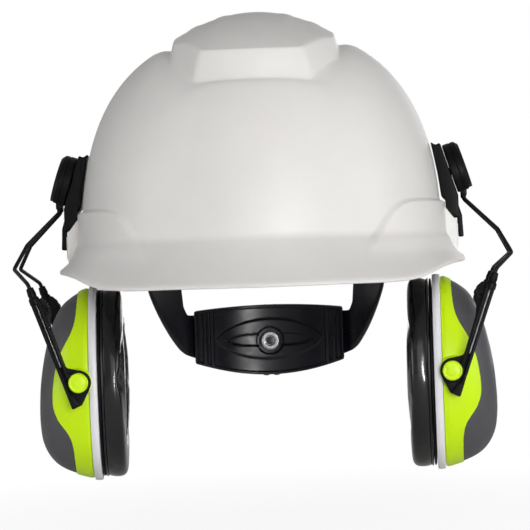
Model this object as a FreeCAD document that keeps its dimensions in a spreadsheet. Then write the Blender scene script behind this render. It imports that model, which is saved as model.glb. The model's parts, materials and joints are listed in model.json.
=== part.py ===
"""Helmet-mounted earmuff hearing protector: a hard-hat shell with its suspension, and a sprung
wire arm with an ear cup on each side.

Millimetres and degrees. +Z is up, the wearer faces -Y, and the wearer's left is +X. The origin is
midway between the ears, at the height of the shell's side rim.
The two sides are alike, so each ear-side piece is built once in the left side's frame and placed
twice. The toe-in then turns each side about its helmet slot.
"""

import FreeCAD, Part
import math
import os

import Sketcher

Vector = FreeCAD.Vector
Rotation = FreeCAD.Rotation
Placement = FreeCAD.Placement

# Driving dimensions: alias, value, what it is.
DIMENSIONS = [
    ("shell_half_width", 107.5, "dome, half its outer width at the rim"),
    ("shell_half_length", 124.0, "dome, half its outer length at the rim"),
    ("dome_height", 139.0, "dome, apex above the rim, without the crown platform"),
    ("wall", 2.6, "shell wall"),
    ("crease_height", 13.0, "where the dome meets the brim"),
    ("rim_half_width", 119.4, "brim edge, half its width"),
    ("rim_half_length", 141.5, "brim edge, half its length"),
    ("rim_forward", 10.5, "brim edge, how far its middle is in front of the dome's"),
    ("rim_tilt", 3.6, "brim edge, front lower than back, degrees"),
    ("platform_half_width", 49.0, "crown platform, half its width"),
    ("platform_half_length", 96.4, "crown platform, half its length"),
    ("platform_nose", 31.0, "crown platform, half the width of its front face"),
    ("platform_bow", 6.0, "crown platform, how far its front face bulges forwards"),
    ("platform_shoulder", 62.0, "crown platform, where its sides start to close in"),
    ("platform_top", 149.0, "crown platform, its highest point"),
    ("platform_end_drop", 30.4, "crown platform, fall from the middle to its front edge"),
    ("platform_side_drop", 17.9, "crown platform, fall from the middle line to its sides"),
    ("platform_side_ease", 9.0, "crown platform, how much less it falls sideways at its ends"),
    ("pad_proud", 3.0, "side pad, how far it stands out of the dome"),
    ("pad_top", 31.0, "side pad, top edge"),
    ("pad_inner", 67.0, "side pad, distance of its front edge from the middle plane"),
    ("pad_slant", 12.0, "side pad, how far its front edge slants outwards"),
    ("pad_back", 64.0, "side pad, rear end"),
    ("toe_in", 3.0, "each ear side turns forward by this, degrees"),
    ("slot_axis", 112.0, "distance of the accessory slot from the middle plane"),
    ("slot_inner", 110.9, "accessory slot, inner face"),
    ("slot_outer", 114.5, "accessory slot, outer face"),
    ("slot_half", 15.8, "accessory slot, half its length"),
    ("pocket_outer", 116.4, "slot pocket, outer face"),
    ("pocket_half", 18.5, "slot pocket, half its length"),
    ("pocket_top", 22.0, "slot pocket, top"),
    ("pocket_bottom", 2.0, "slot pocket, bottom"),
    ("blade_half", 15.2, "bracket blade, half its width"),
    ("bracket_half", 15.5, "bracket, half its width"),
    ("hub_x", 122.8, "centre of the swing hub's outer face, outwards"),
    ("hub_z", 53.0, "centre of the swing hub's outer face, upwards"),
    ("hub_lean", 17.5, "the hub's axis rises outwards by this, degrees"),
    ("hub_radius", 16.4, "swing hub"),
    ("hub_depth", 9.4, "swing hub, both halves"),
    ("flip_x", -4.9, "flip pin, from the hub's outer face"),
    ("flip_z", -9.6, "flip pin, from the hub's axis"),
    ("block_radius", 3.5, "flip block barrel"),
    ("notch_half", 9.6, "half the width of the flip block's notch in the hub"),
    ("wire_radius", 1.2, "arm wire"),
    ("wire_spread", 5.5, "arm wires in the flip block, from the middle"),
    ("slider_x", 135.0, "top of the sliders, outwards"),
    ("slider_z", -17.4, "top of the sliders, upwards"),
    ("slider_lean", 19.5, "sliders and wire ends lean in by this, degrees"),
    ("slider_inner", 47.6, "inner face of the sliders, from the cup's middle"),
    ("wire_line", 50.5, "wire ends, from the cup's middle"),
    ("button_x", 111.0, "pivot buttons, outwards"),
    ("button_z", -66.6, "pivot buttons, upwards"),
    ("button_head", 5.6, "pivot button head radius"),
    ("button_neck", 4.0, "pivot button neck radius"),
    ("cup_z", -69.2, "middle of the ear cup"),
    ("cushion_face", 84.3, "cushion, the face that meets the head"),
    ("cushion_back", 98.2, "cushion, back"),
    ("plate_back", 100.2, "cushion plate, back"),
    ("spacer_back", 105.4, "spacer ring, back, where the cup starts"),
    ("spacer_half_height", 58.2, "spacer ring"),
    ("spacer_half_width", 46.0, "spacer ring"),
    ("head_half_width", 77.0, "headband, inside"),
    ("head_half_length", 97.0, "headband, inside"),
    ("band_thickness", 1.6, "headband and nape straps"),
    ("nape_y", 37.0, "centre of the nape housing's curve"),
    ("nape_z", -50.4, "size knob axis"),
    ("housing_half", 47.0, "nape housing, half its width"),
    ("rack_inner", 63.4, "size racks, inner radius of the curve"),
    ("rack_outer", 65.8, "size racks, outer radius of the curve"),
    ("gear_module", 1.2, "size pinion and racks"),
    ("pinion_teeth", 10, "size pinion"),
    ("knob_radius", 23.3, "size knob"),
    ("strap_width", 20.0, "crown straps"),
    ("strap_reach", 101.0, "crown straps, half their span"),
    ("strap_height", 104.0, "crown straps, underside at the crossing"),
    ("key_inner", 88.2, "suspension keys, inner end"),
    ("key_outer", 109.4, "suspension keys, outer face of the blade"),
    ("key_angle", 42.0, "suspension keys, from the sideways axis, degrees"),
]

# The dome's half width and length shrink with height as a superellipse of these powers.
DOME_PLAN_POWER = 2.5
DOME_HEIGHT_POWER = 2.74
DOME_LEVELS = (0.2, 0.36, 0.5, 0.62, 0.73, 0.82, 0.89, 0.945, 0.98, 0.996)

# The crown platform's roof: its sections along the platform, and how far it is built past the sides.
ROOF_SECTIONS = (-1.03, -0.75, -0.5, -0.25, 0, 0.25, 0.5, 0.75, 1.03)
ROOF_OVERHANG = 3.0

# Ear cup ovals: outwards, drop below the cup's middle, half height, half width.
CUP_OVALS = (
    (105.4, 0.0, 57.0, 44.6),
    (110.0, 0.0, 55.8, 43.8),
    (116.7, 1.0, 52.6, 41.5),
    (123.0, 2.4, 48.3, 38.0),
    (129.0, 7.6, 38.8, 31.5),
    (133.5, 12.0, 27.2, 23.0),
    (136.2, 17.8, 12.0, 11.0),
)
CUP_WALL = 2.4
# Where the cup's coloured frame ends and its outer cover starts: outwards, upwards.
FRAME_EDGE = (
    (111.6, -4.0),
    (111.9, -20.0),
    (113.0, -31.0),
    (115.8, -39.0),
    (120.8, -48.0),
    (125.4, -61.0),
    (127.3, -78.0),
    (124.9, -88.0),
    (118.4, -97.8),
    (116.2, -106.0),
    (115.8, -134.0),
)

doc = FreeCAD.newDocument("earmuff")
sheet = doc.addObject("Spreadsheet::Sheet", "dims")
for row, (alias, number, meaning) in enumerate(DIMENSIONS, start=1):
    sheet.set(f"A{row}", meaning)
    sheet.set(f"B{row}", str(number))
    sheet.setAlias(f"B{row}", alias)
doc.recompute()
size = {alias: float(number) for alias, number, meaning in DIMENSIONS}

parts = {}  # node name: the object that holds its shape


# ---- small helpers -------------------------------------------------------------------------


def value(expression):
    """The number that a sheet expression stands for now."""
    found = sheet.evalExpression(str(expression))
    return float(getattr(found, "Value", found))


def bind(thing, **sizes):
    """Ties properties of an object to sheet expressions. A double underscore stands for a dot."""
    for name, expression in sizes.items():
        thing.setExpression(name.replace("__", "."), str(expression))
    return thing


def keep(thing, node, placement=None):
    """Names an object as a sub-part, and puts it in its place."""
    thing.Label = node
    if placement is not None:
        thing.Placement = placement
    parts[node] = thing
    return thing


def boolean(kind, name, first, *others):
    """A Part boolean: Cut takes two objects, Fuse and Common take any number."""
    if kind == "Cut":
        thing = doc.addObject("Part::Cut", name)
        thing.Base = first
        thing.Tool = others[0]
        return thing
    thing = doc.addObject(f"Part::Multi{kind}", name)
    thing.Shapes = [first, *others]
    return thing


def cut(name, base, *tools):
    """The base less every tool."""
    tool = tools[0] if len(tools) == 1 else boolean("Fuse", name + "_tools", *tools)
    return boolean("Cut", name, base, tool)


def box(name, low, high):
    """A box between two corners, each three sheet expressions."""
    thing = doc.addObject("Part::Box", name)
    for letter, side, a, b in zip("xyz", ("Length", "Width", "Height"), low, high):
        thing.setExpression(side, f"({b}) - ({a})")
        thing.setExpression(f"Placement.Base.{letter}", str(a))
    return thing


def cylinder(name, radius, height, base, direction):
    """A cylinder from a base point along a direction."""
    thing = doc.addObject("Part::Cylinder", name)
    bind(thing, Radius=radius, Height=height)
    turn = Rotation(Vector(0, 0, 1), Vector(*direction))
    thing.Placement = Placement(Vector(*(value(c) for c in base)), turn)
    return thing


def origin_plane(body, role):
    """One of a body's own origin planes."""
    return next(f for f in body.Origin.OriginFeatures if f.Role == role)


def outline_sketch(body, name, role, points, offset="0"):
    """A closed outline on an origin plane, each corner held by the sheet.

    A point is (x, y), or (x, y, bulge) to reach the next corner by an arc with that rise."""
    sketch = body.newObject("Sketcher::SketchObject", name)
    sketch.AttachmentSupport = [(origin_plane(body, role), "")]
    sketch.MapMode = "FlatFace"
    sketch.setExpression("AttachmentOffset.Base.z", str(offset))
    corners = [Vector(value(p[0]), value(p[1]), 0) for p in points]
    count = len(points)
    for i, point in enumerate(points):
        a, b = corners[i], corners[(i + 1) % count]
        if len(point) == 3:
            side = Vector(b.y - a.y, a.x - b.x, 0).normalize()
            crest = (a + b) * 0.5 + side * value(point[2])
            sketch.addGeometry(Part.Arc(a, crest, b))
        else:
            sketch.addGeometry(Part.LineSegment(a, b))
    joints = []
    for i, point in enumerate(points):
        j = (i + 1) % count
        joints.append((curve_end(sketch, i, corners[j]), j, curve_end(sketch, j, corners[j])))
    for i, (end, j, start) in enumerate(joints):
        sketch.addConstraint(Sketcher.Constraint("Coincident", i, end, j, start))
    for i, point in enumerate(points):
        start = curve_end(sketch, i, corners[i])
        for kind, expression in (("DistanceX", point[0]), ("DistanceY", point[1])):
            held = Sketcher.Constraint(kind, -1, 1, i, start, value(expression))
            sketch.setExpression(f"Constraints[{sketch.addConstraint(held)}]", str(expression))
    return sketch


def curve_end(sketch, index, point):
    """Which end of a sketch curve lies on a point: 1 for its start, 2 for its end."""
    curve = sketch.Geometry[index]
    return 1 if curve.StartPoint.distanceToPoint(point) < curve.EndPoint.distanceToPoint(point) else 2


def circle_sketch(body, name, role, centre, radius, offset="0"):
    """A circle on an origin plane, held by the sheet."""
    sketch = body.newObject("Sketcher::SketchObject", name)
    sketch.AttachmentSupport = [(origin_plane(body, role), "")]
    sketch.MapMode = "FlatFace"
    sketch.setExpression("AttachmentOffset.Base.z", str(offset))
    at = Vector(value(centre[0]), value(centre[1]), 0)
    sketch.addGeometry(Part.Circle(at, Vector(0, 0, 1), value(radius)))
    for held, expression in (
        (Sketcher.Constraint("DistanceX", -1, 1, 0, 3, at.x), centre[0]),
        (Sketcher.Constraint("DistanceY", -1, 1, 0, 3, at.y), centre[1]),
        (Sketcher.Constraint("Radius", 0, value(radius)), radius),
    ):
        sketch.setExpression(f"Constraints[{sketch.addConstraint(held)}]", str(expression))
    return sketch


def extrude(body, kind, sketch, length, midplane=False):
    """Pads or pockets a sketch of a body and makes it the body's tip."""
    feature = body.newObject(f"PartDesign::{kind}", f"{sketch.Name}_{kind}")
    feature.Profile = sketch
    if midplane:
        feature.Midplane = True
    elif kind == "Pocket":
        feature.Reversed = True
    feature.setExpression("Length", str(length))
    body.Tip = feature
    return feature


def new_body(name):
    """An empty PartDesign body."""
    return doc.addObject("PartDesign::Body", name)


def prism_body(name, role, points, length, offset="0", midplane=True):
    """A body that starts as one padded outline."""
    body = new_body(name)
    extrude(body, "Pad", outline_sketch(body, name + "_outline", role, points, offset), length, midplane)
    return body


def fillet_along(body, direction, radius):
    """Rounds the straight edges of a body's tip that run along a direction."""
    doc.recompute()
    tip = body.Tip
    along = Vector(*direction)
    edges = []
    for i, edge in enumerate(tip.Shape.Edges, start=1):
        if isinstance(edge.Curve, Part.Line) and abs(edge.Curve.Direction.dot(along)) > 0.999:
            edges.append(f"Edge{i}")
    fillet = body.newObject("PartDesign::Fillet", body.Name + "_round")
    fillet.Base = (tip, edges)
    fillet.setExpression("Radius", str(radius))
    body.Tip = fillet
    return fillet


def oval_loft(name, ovals, axis):
    """A solid through ovals. Each is (place along the axis, shift, half sizes across it).

    Along X an oval's shift is upwards and its half sizes are height and width; along Z its shift is
    forwards and they are length and width."""
    turn = Rotation(Vector(0, 1, 0), -90) if axis == "x" else Rotation(Vector(0, 0, 1), 90)
    rings = []
    for i, (along, shift, major, minor) in enumerate(ovals):
        ring = doc.addObject("Part::Ellipse", f"{name}_ring{i}")
        bind(ring, MajorRadius=major, MinorRadius=minor)
        ring.Placement = Placement(Vector(0, 0, 0), turn)
        across = "z" if axis == "x" else "y"
        ring.setExpression(f"Placement.Base.{axis}", str(along))
        ring.setExpression(f"Placement.Base.{across}", str(shift))
        rings.append(ring)
    loft = doc.addObject("Part::Loft", name)
    loft.Sections = rings
    loft.Solid = True
    return loft


def oval_ring(name, low, high, outer, inner, drop="0"):
    """A flat oval ring between two planes across X; outer and inner are half height and width."""
    solids = []
    for label, (half_height, half_width), grow in (("rim", outer, "0"), ("hole", inner, "1")):
        start, end = f"{low} - {grow}", f"{high} + {grow}"
        centre = f"dims.cup_z - ({drop})"
        section = [(x, centre, half_height, half_width) for x in (start, end)]
        solids.append(oval_loft(f"{name}_{label}", section, "x"))
    return cut(name, *solids)


def bent_wire(points, bend_radius, wire_radius):
    """A round wire through points, with its corners bent to a radius."""
    edges = []
    start = points[0]
    for before, corner, after in zip(points, points[1:], points[2:]):
        back = (before - corner).normalize()
        on = (after - corner).normalize()
        half = back.getAngle(on) / 2
        reach = bend_radius / math.tan(half)
        middle = (back + on).normalize()
        crest = corner + middle * (bend_radius / math.sin(half) - bend_radius)
        enter, leave = corner + back * reach, corner + on * reach
        edges.append(Part.LineSegment(start, enter).toShape())
        edges.append(Part.Arc(enter, crest, leave).toShape())
        start = leave
    edges.append(Part.LineSegment(start, points[-1]).toShape())
    path = Part.Wire(edges)
    heading = points[1] - points[0]
    profile = Part.Wire([Part.Circle(points[0], heading, wire_radius).toShape()])
    return path.makePipeShell([profile], True, False)


def shape_feature(name, shape):
    """A shape made with Part's own functions, held as a document object."""
    thing = doc.addObject("Part::Feature", name)
    thing.Shape = shape
    return thing


# ---- frames --------------------------------------------------------------------------------


def side_placement(side):
    """The toe-in of one ear side about its helmet slot, or the same turned half round."""
    angle = -size["toe_in"] if side == "left" else 180 + size["toe_in"]
    pivot = Vector(size["slot_axis"], 0, 0)
    turn = Rotation(Vector(0, 0, 1), angle)
    target = pivot if side == "left" else pivot * -1
    return Placement(target - turn.multVec(pivot), turn)


def hub_frame():
    """X points out of the hub's face, and Z up along it."""
    return Placement(Vector(size["hub_x"], 0, size["hub_z"]), Rotation(Vector(0, 1, 0), -size["hub_lean"]))


def slider_frame():
    """Z points up along the wire ends, from the top of the sliders."""
    place = Vector(size["slider_x"], 0, size["slider_z"])
    return Placement(place, Rotation(Vector(0, 1, 0), size["slider_lean"]))


FLIP_POINT = hub_frame().multVec(Vector(size["flip_x"], 0, size["flip_z"]))


# ---- helmet shell --------------------------------------------------------------------------


def dome(name, start, wider, longer, taller):
    """A solid dome from a starting height, its half width, length and height changed by these."""
    half_length = f"(dims.shell_half_length + {longer})"
    half_width = f"(dims.shell_half_width + {wider})"
    height = f"(dims.dome_height + {taller})"
    ovals = [(start, "0", half_length, half_width)]
    for level in DOME_LEVELS:
        share = f"{(1 - level**DOME_HEIGHT_POWER) ** (1 / DOME_PLAN_POWER):.5f}"
        ovals.append((f"{height} * {level}", "0", f"{half_length} * {share}", f"{half_width} * {share}"))
    return oval_loft(name, ovals, "z")


def brim(name, drop):
    """The flared solid between the crease and the tilted brim edge, lowered by a drop."""
    flare = 0.4
    half_height = 0.5
    loft = oval_loft(
        name,
        [
            (f"dims.crease_height - {drop}", "0", "dims.shell_half_length", "dims.shell_half_width"),
            (
                f"dims.crease_height * {half_height} - {drop}",
                f"-dims.rim_forward * {flare}",
                f"dims.shell_half_length + (dims.rim_half_length - dims.shell_half_length) * {flare}",
                f"dims.shell_half_width + (dims.rim_half_width - dims.shell_half_width) * {flare}",
            ),
            (f"-{drop}", "-dims.rim_forward", "dims.rim_half_length", "dims.rim_half_width"),
        ],
        "z",
    )
    turned = Rotation(Vector(1, 0, 0), size["rim_tilt"])
    half_turned = Rotation(Vector(1, 0, 0), size["rim_tilt"] * half_height)
    quarter = Rotation(Vector(0, 0, 1), 90)
    for ring, turn in zip(loft.Sections[1:], (half_turned, turned)):
        ring.Placement.Rotation = turn.multiply(quarter)
    return loft


def platform_roof(name, shrink):
    """The crown platform's curved roof, on straight sides, lowered by an amount."""
    half = size["platform_half_width"] + ROOF_OVERHANG
    low = size["dome_height"] * 0.5
    sections = []
    for share in ROOF_SECTIONS:
        y = size["platform_half_length"] * share
        crest = size["platform_top"] - shrink - size["platform_end_drop"] * share**2
        side = crest - size["platform_side_drop"] + size["platform_side_ease"] * share**2
        outline = ((-half, side), (-half, low), (half, low), (half, side))
        corners = [Vector(x, y, z) for x, z in outline]
        edges = [Part.LineSegment(a, b).toShape() for a, b in zip(corners, corners[1:])]
        edges.append(Part.Arc(corners[-1], Vector(0, y, crest), corners[0]).toShape())
        sections.append(Part.Wire(edges))
    return shape_feature(name, Part.makeLoft(sections, True))


def crown_platform(name, shrink):
    """The raised platform along the crown, made smaller all round by an amount."""
    width, length = f"(dims.platform_half_width - {shrink})", f"(dims.platform_half_length - {shrink})"
    nose, shoulder = f"(dims.platform_nose - {shrink} * 0.6)", f"(dims.platform_shoulder - {shrink} * 0.2)"
    end, bow = f"({length} - dims.platform_bow)", "dims.platform_bow"
    points = [
        (width, f"-{shoulder}"),
        (width, shoulder),
        (nose, end, bow),
        (f"-{nose}", end),
        (f"-{width}", shoulder),
        (f"-{width}", f"-{shoulder}"),
        (f"-{nose}", f"-{end}", bow),
        (nose, f"-{end}"),
    ]
    height, floor = "dims.dome_height", "dims.dome_height * 0.6"
    outline = prism_body(f"{name}_outline", "XY_Plane", points, height, floor, False)
    return boolean("Common", name, platform_roof(f"{name}_roof", value(shrink)), outline)


def side_pads():
    """The two raised pads low on the dome, either side of the accessory slots."""
    proud = dome("pad_dome", "dims.crease_height", "dims.pad_proud", "dims.pad_proud", "0")
    regions = []
    for side, sign in (("left", ""), ("right", "-")):
        outline = [
            (f"{sign}dims.pad_inner", "dims.crease_height"),
            (f"{sign}(dims.pad_inner + dims.pad_slant)", "dims.pad_top"),
            (f"{sign}dims.rim_half_width", "dims.pad_top"),
            (f"{sign}dims.rim_half_width", "dims.crease_height"),
        ]
        length = "dims.pad_back + dims.rim_half_length"
        regions.append(prism_body(f"pad_{side}", "XZ_Plane", outline, length, "-dims.pad_back", False))
    return boolean("Common", "side_pads", proud, boolean("Fuse", "pad_regions", *regions))


def slot_solid(name, side, low, high):
    """A box in one ear side's frame."""
    thing = box(name, low, high)
    doc.recompute()
    thing.setExpression("Placement.Base.x", None)
    thing.setExpression("Placement.Base.y", None)
    thing.setExpression("Placement.Base.z", None)
    thing.Placement = side_placement(side).multiply(thing.Placement)
    return thing


def key_angles():
    """The directions of the four suspension keys, from +X."""
    near = size["key_angle"]
    return (near, 180 - near, 180 + near, 360 - near)


def turned_copy(name, source, angle):
    """A copy of an object turned about the vertical axis."""
    copy = doc.addObject("Part::Compound", name)
    copy.Links = [source]
    copy.Placement = Placement(Vector(0, 0, 0), Rotation(Vector(0, 0, 1), angle))
    return copy


def key_socket():
    """A socket inside the shell for a suspension key's blade, built along +X."""
    near, far = "dims.key_outer - 2.9", "dims.key_outer + 0.3"
    block = box("socket_block", ("dims.key_outer - 5", "-14", "17"), ("dims.key_outer + 4", "14", "31"))
    slot = box("socket_slot", (near, "-11.3", "10"), (far, "11.3", "40"))
    return block, slot


def helmet_shell():
    """Dome, brim, crown platform, side pads and slot pockets, hollowed, with its four sockets."""
    drop = "dims.wall * 1.3"
    lumps = [dome("dome_outer", "dims.crease_height", "0", "0", "0"), brim("brim_outer", "0"),
             crown_platform("platform_outer", "0"), side_pads()]
    slots = []
    for side in ("left", "right"):
        lumps.append(slot_solid(f"pocket_{side}", side,
                                ("dims.shell_half_width - 4", "-dims.pocket_half", "dims.pocket_bottom"),
                                ("dims.pocket_outer", "dims.pocket_half", "dims.pocket_top")))
        slots.append(slot_solid(f"slot_{side}", side, ("dims.slot_inner", "-dims.slot_half", "-20"),
                                ("dims.slot_outer", "dims.slot_half", "dims.pocket_top + 5")))
    outer = boolean("Fuse", "shell_outer", *lumps)
    thin = "-dims.wall"
    hollow = [
        dome("dome_inner", f"dims.crease_height - {drop}", thin, thin, thin),
        brim("brim_inner", drop),
        crown_platform("platform_inner", "dims.wall"),
    ]
    skin = cut("shell_skin", outer, *hollow, *slots)
    block, slot = key_socket()
    blocks = [turned_copy(f"socket_block_{i}", block, a) for i, a in enumerate(key_angles())]
    gaps = [turned_copy(f"socket_slot_{i}", slot, a) for i, a in enumerate(key_angles())]
    inside = boolean("Common", "sockets", boolean("Fuse", "socket_blocks", *blocks),
                     dome("socket_limit", "dims.crease_height", "-1", "-1", "-1"))
    whole = boolean("Fuse", "shell_with_sockets", skin, inside)
    keep(cut("helmet_shell", whole, *gaps), "helmet_shell")


# ---- suspension ----------------------------------------------------------------------------


def oval_tube(name, low, high, thicker="0"):
    """The headband's oval tube between two heights, its wall moved outwards by an amount."""
    solids = []
    for label, grow in (("outer", f"dims.band_thickness + {thicker}"), ("inner", thicker)):
        major, minor = f"dims.head_half_length + {grow}", f"dims.head_half_width + {grow}"
        ovals = [(height, "0", major, minor) for height in (low, high)]
        solids.append(oval_loft(f"{name}_{label}", ovals, "z"))
    return cut(name, *solids)


def headband():
    """The flexible band round the forehead and sides, open at the back."""
    tube = oval_tube("band_tube", "-6", "22")
    rear = box("band_rear", ("-200", "47", "-50"), ("200", "200", "50"))
    keep(cut("headband", tube, rear), "headband")


def brow_pad():
    """The soft pad inside the front of the headband."""
    thickness = 3.6
    tube = oval_tube("brow_tube", "-7", "24", f"-{thickness + 0.1}")
    fat = oval_tube("brow_fill", "-7", "24", "-dims.band_thickness - 0.1")
    mid = oval_tube("brow_middle", "-7", "24", f"-{thickness / 2 + 0.7:.2f}")
    front = box("brow_front", ("-62", "-200", "-50"), ("62", "-40", "50"))
    keep(boolean("Common", "brow_pad", boolean("Fuse", "brow_layers", tube, fat, mid), front), "brow_pad")


def nape_straps():
    """The two straps that come down from the headband to the nape housing."""
    profile = [("47.3", "21"), ("47.3", "-6"), ("18", "-6.2"), ("33", "-14"), ("61", "-45"),
               ("70", "-55.5"), ("78", "-60.2"), ("92", "-60.2"), ("92", "-32.6"), ("72", "-31.5"),
               ("70.2", "-14"), ("69.6", "21")]
    for side, sign in (("left", ""), ("right", "-")):
        web = prism_body(f"{side}_strap_web", "YZ_Plane", profile, "50", f"{sign}60", True)
        tube = oval_tube(f"{side}_strap_tube", "-70", "30")
        inner = box(f"{side}_strap_end", ("-35.5", "0", "-80"), ("35.5", "200", "40"))
        lower = box(f"{side}_strap_under", ("-200", "0", "-6"), ("200", "47.2", "40"))
        keep(cut(f"{side}_nape_strap", boolean("Common", f"{side}_strap_blank", web, tube), inner, lower),
             f"{side}_nape_strap")


def crown_straps():
    """Two webbing straps that cross over the head, the second one over the first."""
    thickness = 1.2
    for name, angle, lift in (("crown_strap_left_front", -size["key_angle"], 0.0),
                              ("crown_strap_right_front", size["key_angle"], 2.6)):
        low = 12
        outer_x, outer_z = f"dims.strap_reach + {thickness}", f"dims.strap_height + {lift + thickness}"
        arcs = []
        for label, reach, height, width in (
            ("over", outer_x, outer_z, "dims.strap_width"),
            ("under", "dims.strap_reach", f"dims.strap_height + {lift}", "dims.strap_width + 2"),
        ):
            ring = doc.addObject("Part::Ellipse", f"{name}_{label}_ring")
            bind(ring, MajorRadius=height, MinorRadius=reach)
            ring.Placement = Placement(Vector(0, 0, 0), Rotation(Vector(0, 0, 1), Vector(0, 1, 0)).multiply(
                Rotation(Vector(0, 0, 1), 90)))
            face = doc.addObject("Part::Extrusion", f"{name}_{label}")
            face.Base = ring
            face.DirMode = "Custom"
            face.Dir = Vector(0, 1, 0)
            face.Solid = True
            face.setExpression("LengthFwd", width)
            face.Symmetric = True
            arcs.append(face)
        band = cut(name + "_loop", *arcs)
        below = box(name + "_below", ("-200", "-50", "-200"), ("200", "50", str(low)))
        keep(cut(name, band, below), name, Placement(Vector(0, 0, 0), Rotation(Vector(0, 0, 1), angle)))


def suspension_keys():
    """Four keys that hang the headband and straps from the shell's sockets."""
    inner, outer = "dims.key_inner", "dims.key_outer"
    back, elbow, blade = f"{inner} + 2.4", f"{outer} - 6.4", f"{outer} - 2.6"
    profile = [(inner, "-3"), (back, "-3"), (back, "7"), (elbow, "7"), (outer, "11"), (outer, "34"),
               (blade, "34"), (blade, "12.5"), (elbow, "9.6"), (back, "9.6"), (back, "19"), (inner, "19")]
    key = prism_body("suspension_key", "XZ_Plane", profile, "22")
    fillet_along(key, (0, 1, 0), "0.5")
    copies = [turned_copy(f"suspension_key_{i}", key, a) for i, a in enumerate(key_angles())]
    group = doc.addObject("Part::Compound", "suspension_keys")
    group.Links = copies
    keep(group, "suspension_keys")


# ---- size adjuster at the nape --------------------------------------------------------------


def lens_prism(name, shrink, longer):
    """The nape housing's outline as a solid along Y, its height shrunk and its ends lengthened."""
    half = f"dims.housing_half + {longer}"
    top, bottom = f"dims.nape_z + 20.6 - {shrink}", f"dims.nape_z - 12.4 + {shrink}"
    points = [(half, top, "2.4"), (f"-({half})", top), (f"-({half})", bottom, "9.4"), (half, bottom)]
    return prism_body(name, "XZ_Plane", points, "70", "-90")


def nape_tube(name, inner, outer):
    """A tube about the nape curve's axis."""
    solids = []
    for label, radius in (("outer", outer), ("inner", inner)):
        solids.append(cylinder(f"{name}_{label}", radius, 80, (0, "dims.nape_y", -90), (0, 0, 1)))
    return cut(name, *solids)


def nape_housing():
    """The inner and outer halves of the adjuster's housing, curved round the nape."""
    wall = "2.2"
    layers = (
        ("nape_housing_inner", 58.5, 63.2, 60.5, 63.3, "housing_shaft_inner", 1.52),
        ("nape_housing_outer", 63.3, 69.0, 63.2, 66.4, "housing_shaft_outer", 3.18),
    )
    for name, low, high, hollow_low, hollow_high, bore_name, bore in layers:
        lens = lens_prism(name + "_lens", "0", "0")
        blank = boolean("Common", name + "_blank", nape_tube(name + "_tube", low, high), lens)
        hollow = boolean("Common", name + "_hollow", nape_tube(name + "_gap", hollow_low, hollow_high),
                         lens_prism(name + "_opening", wall, "4"))
        shaft = cylinder(bore_name, bore, 40, (0, 80, "dims.nape_z"), (0, 1, 0))
        keep(cut(name, blank, hollow, shaft), name)


TOOTH_PRESSURE = math.tan(math.radians(20))
TOOTH_WIDTH = 1.3  # at the pitch line, which leaves backlash


def tooth_outline(root, tip):
    """Half widths of a tooth at its root and tip, each a distance from the pitch line."""
    return TOOTH_WIDTH / 2 + root * TOOTH_PRESSURE, TOOTH_WIDTH / 2 - tip * TOOTH_PRESSURE


def size_pinion():
    """The pinion on the knob's shaft, with its bore for the rivet."""
    module, count = size["gear_module"], int(size["pinion_teeth"])
    pitch = module * count / 2
    root, tip = 1.5, 1.05
    wide, narrow = tooth_outline(root, tip)
    front, back = size["nape_y"] + 60.7, size["nape_y"] + 65.8
    hub = Part.makeCylinder(pitch - root + 0.05, back - front, Vector(0, front, 0), Vector(0, 1, 0))
    solids = []
    for i in range(count):
        low, high = pitch - root - 0.4, pitch + tip
        flanks = ((low, -wide), (high, -narrow), (high, narrow), (low, wide))
        corners = [Vector(radius, front, half) for radius, half in flanks]
        tooth = Part.Face(Part.makePolygon(corners + corners[:1])).extrude(Vector(0, back - front, 0))
        tooth.rotate(Vector(0, 0, 0), Vector(0, 1, 0), 360 * i / count)
        solids.append(tooth)
    reach = size["nape_y"] + 70.4 - (back - 0.2)
    shaft = Part.makeCylinder(3.1, reach, Vector(0, back - 0.2, 0), Vector(0, 1, 0))
    bore = Part.makeCylinder(1.55, 60, Vector(0, front - 5, 0), Vector(0, 1, 0))
    gear = hub.fuse(solids + [shaft]).cut(bore).removeSplitter()
    gear.translate(Vector(0, 0, size["nape_z"]))
    keep(shape_feature("size_pinion", gear), "size_pinion")


def size_rack(node, up):
    """One curved, toothed rack. The wearer's right rack runs over the pinion, the left one under."""
    module, count = size["gear_module"], int(size["pinion_teeth"])
    pitch = module * count / 2
    inner, outer = size["rack_inner"], size["rack_outer"]
    middle = (inner + outer) / 2
    step = math.degrees(math.pi * module / middle)
    root, tip = 1.5, 1.05
    wide, narrow = tooth_outline(root, tip)
    thick = 3.4
    low_angle, high_angle = -38.0, 21.0
    strip = Part.Face(Part.makePolygon([Vector(0, r, z) for r, z in (
        (inner, pitch + root), (outer, pitch + root), (outer, pitch + root + thick),
        (inner, pitch + root + thick), (inner, pitch + root))]))
    strip = strip.revolve(Vector(0, 0, 0), Vector(0, 0, 1), high_angle - low_angle)
    strip.rotate(Vector(0, 0, 0), Vector(0, 0, 1), -high_angle)
    solids = []
    for i in range(-5, 5):
        corners = [Vector(-wide, inner, pitch + root + 0.2), Vector(-narrow, inner, pitch - tip),
                   Vector(narrow, inner, pitch - tip), Vector(wide, inner, pitch + root + 0.2)]
        tooth = Part.Face(Part.makePolygon(corners + corners[:1])).extrude(Vector(0, outer - inner, 0))
        tooth.rotate(Vector(0, 0, 0), Vector(0, 0, 1), -step * i)
        solids.append(tooth)
    rack = strip.fuse(solids)
    limit = Part.makeCylinder(outer, 40, Vector(0, 0, -20), Vector(0, 0, 1)).cut(
        Part.makeCylinder(inner, 40, Vector(0, 0, -20), Vector(0, 0, 1)))
    rack = rack.common(limit).removeSplitter()
    if not up:
        rack.rotate(Vector(0, 0, 0), Vector(0, 1, 0), 180)
    rack.translate(Vector(0, size["nape_y"], size["nape_z"]))
    keep(shape_feature(node, rack), node)


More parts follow.
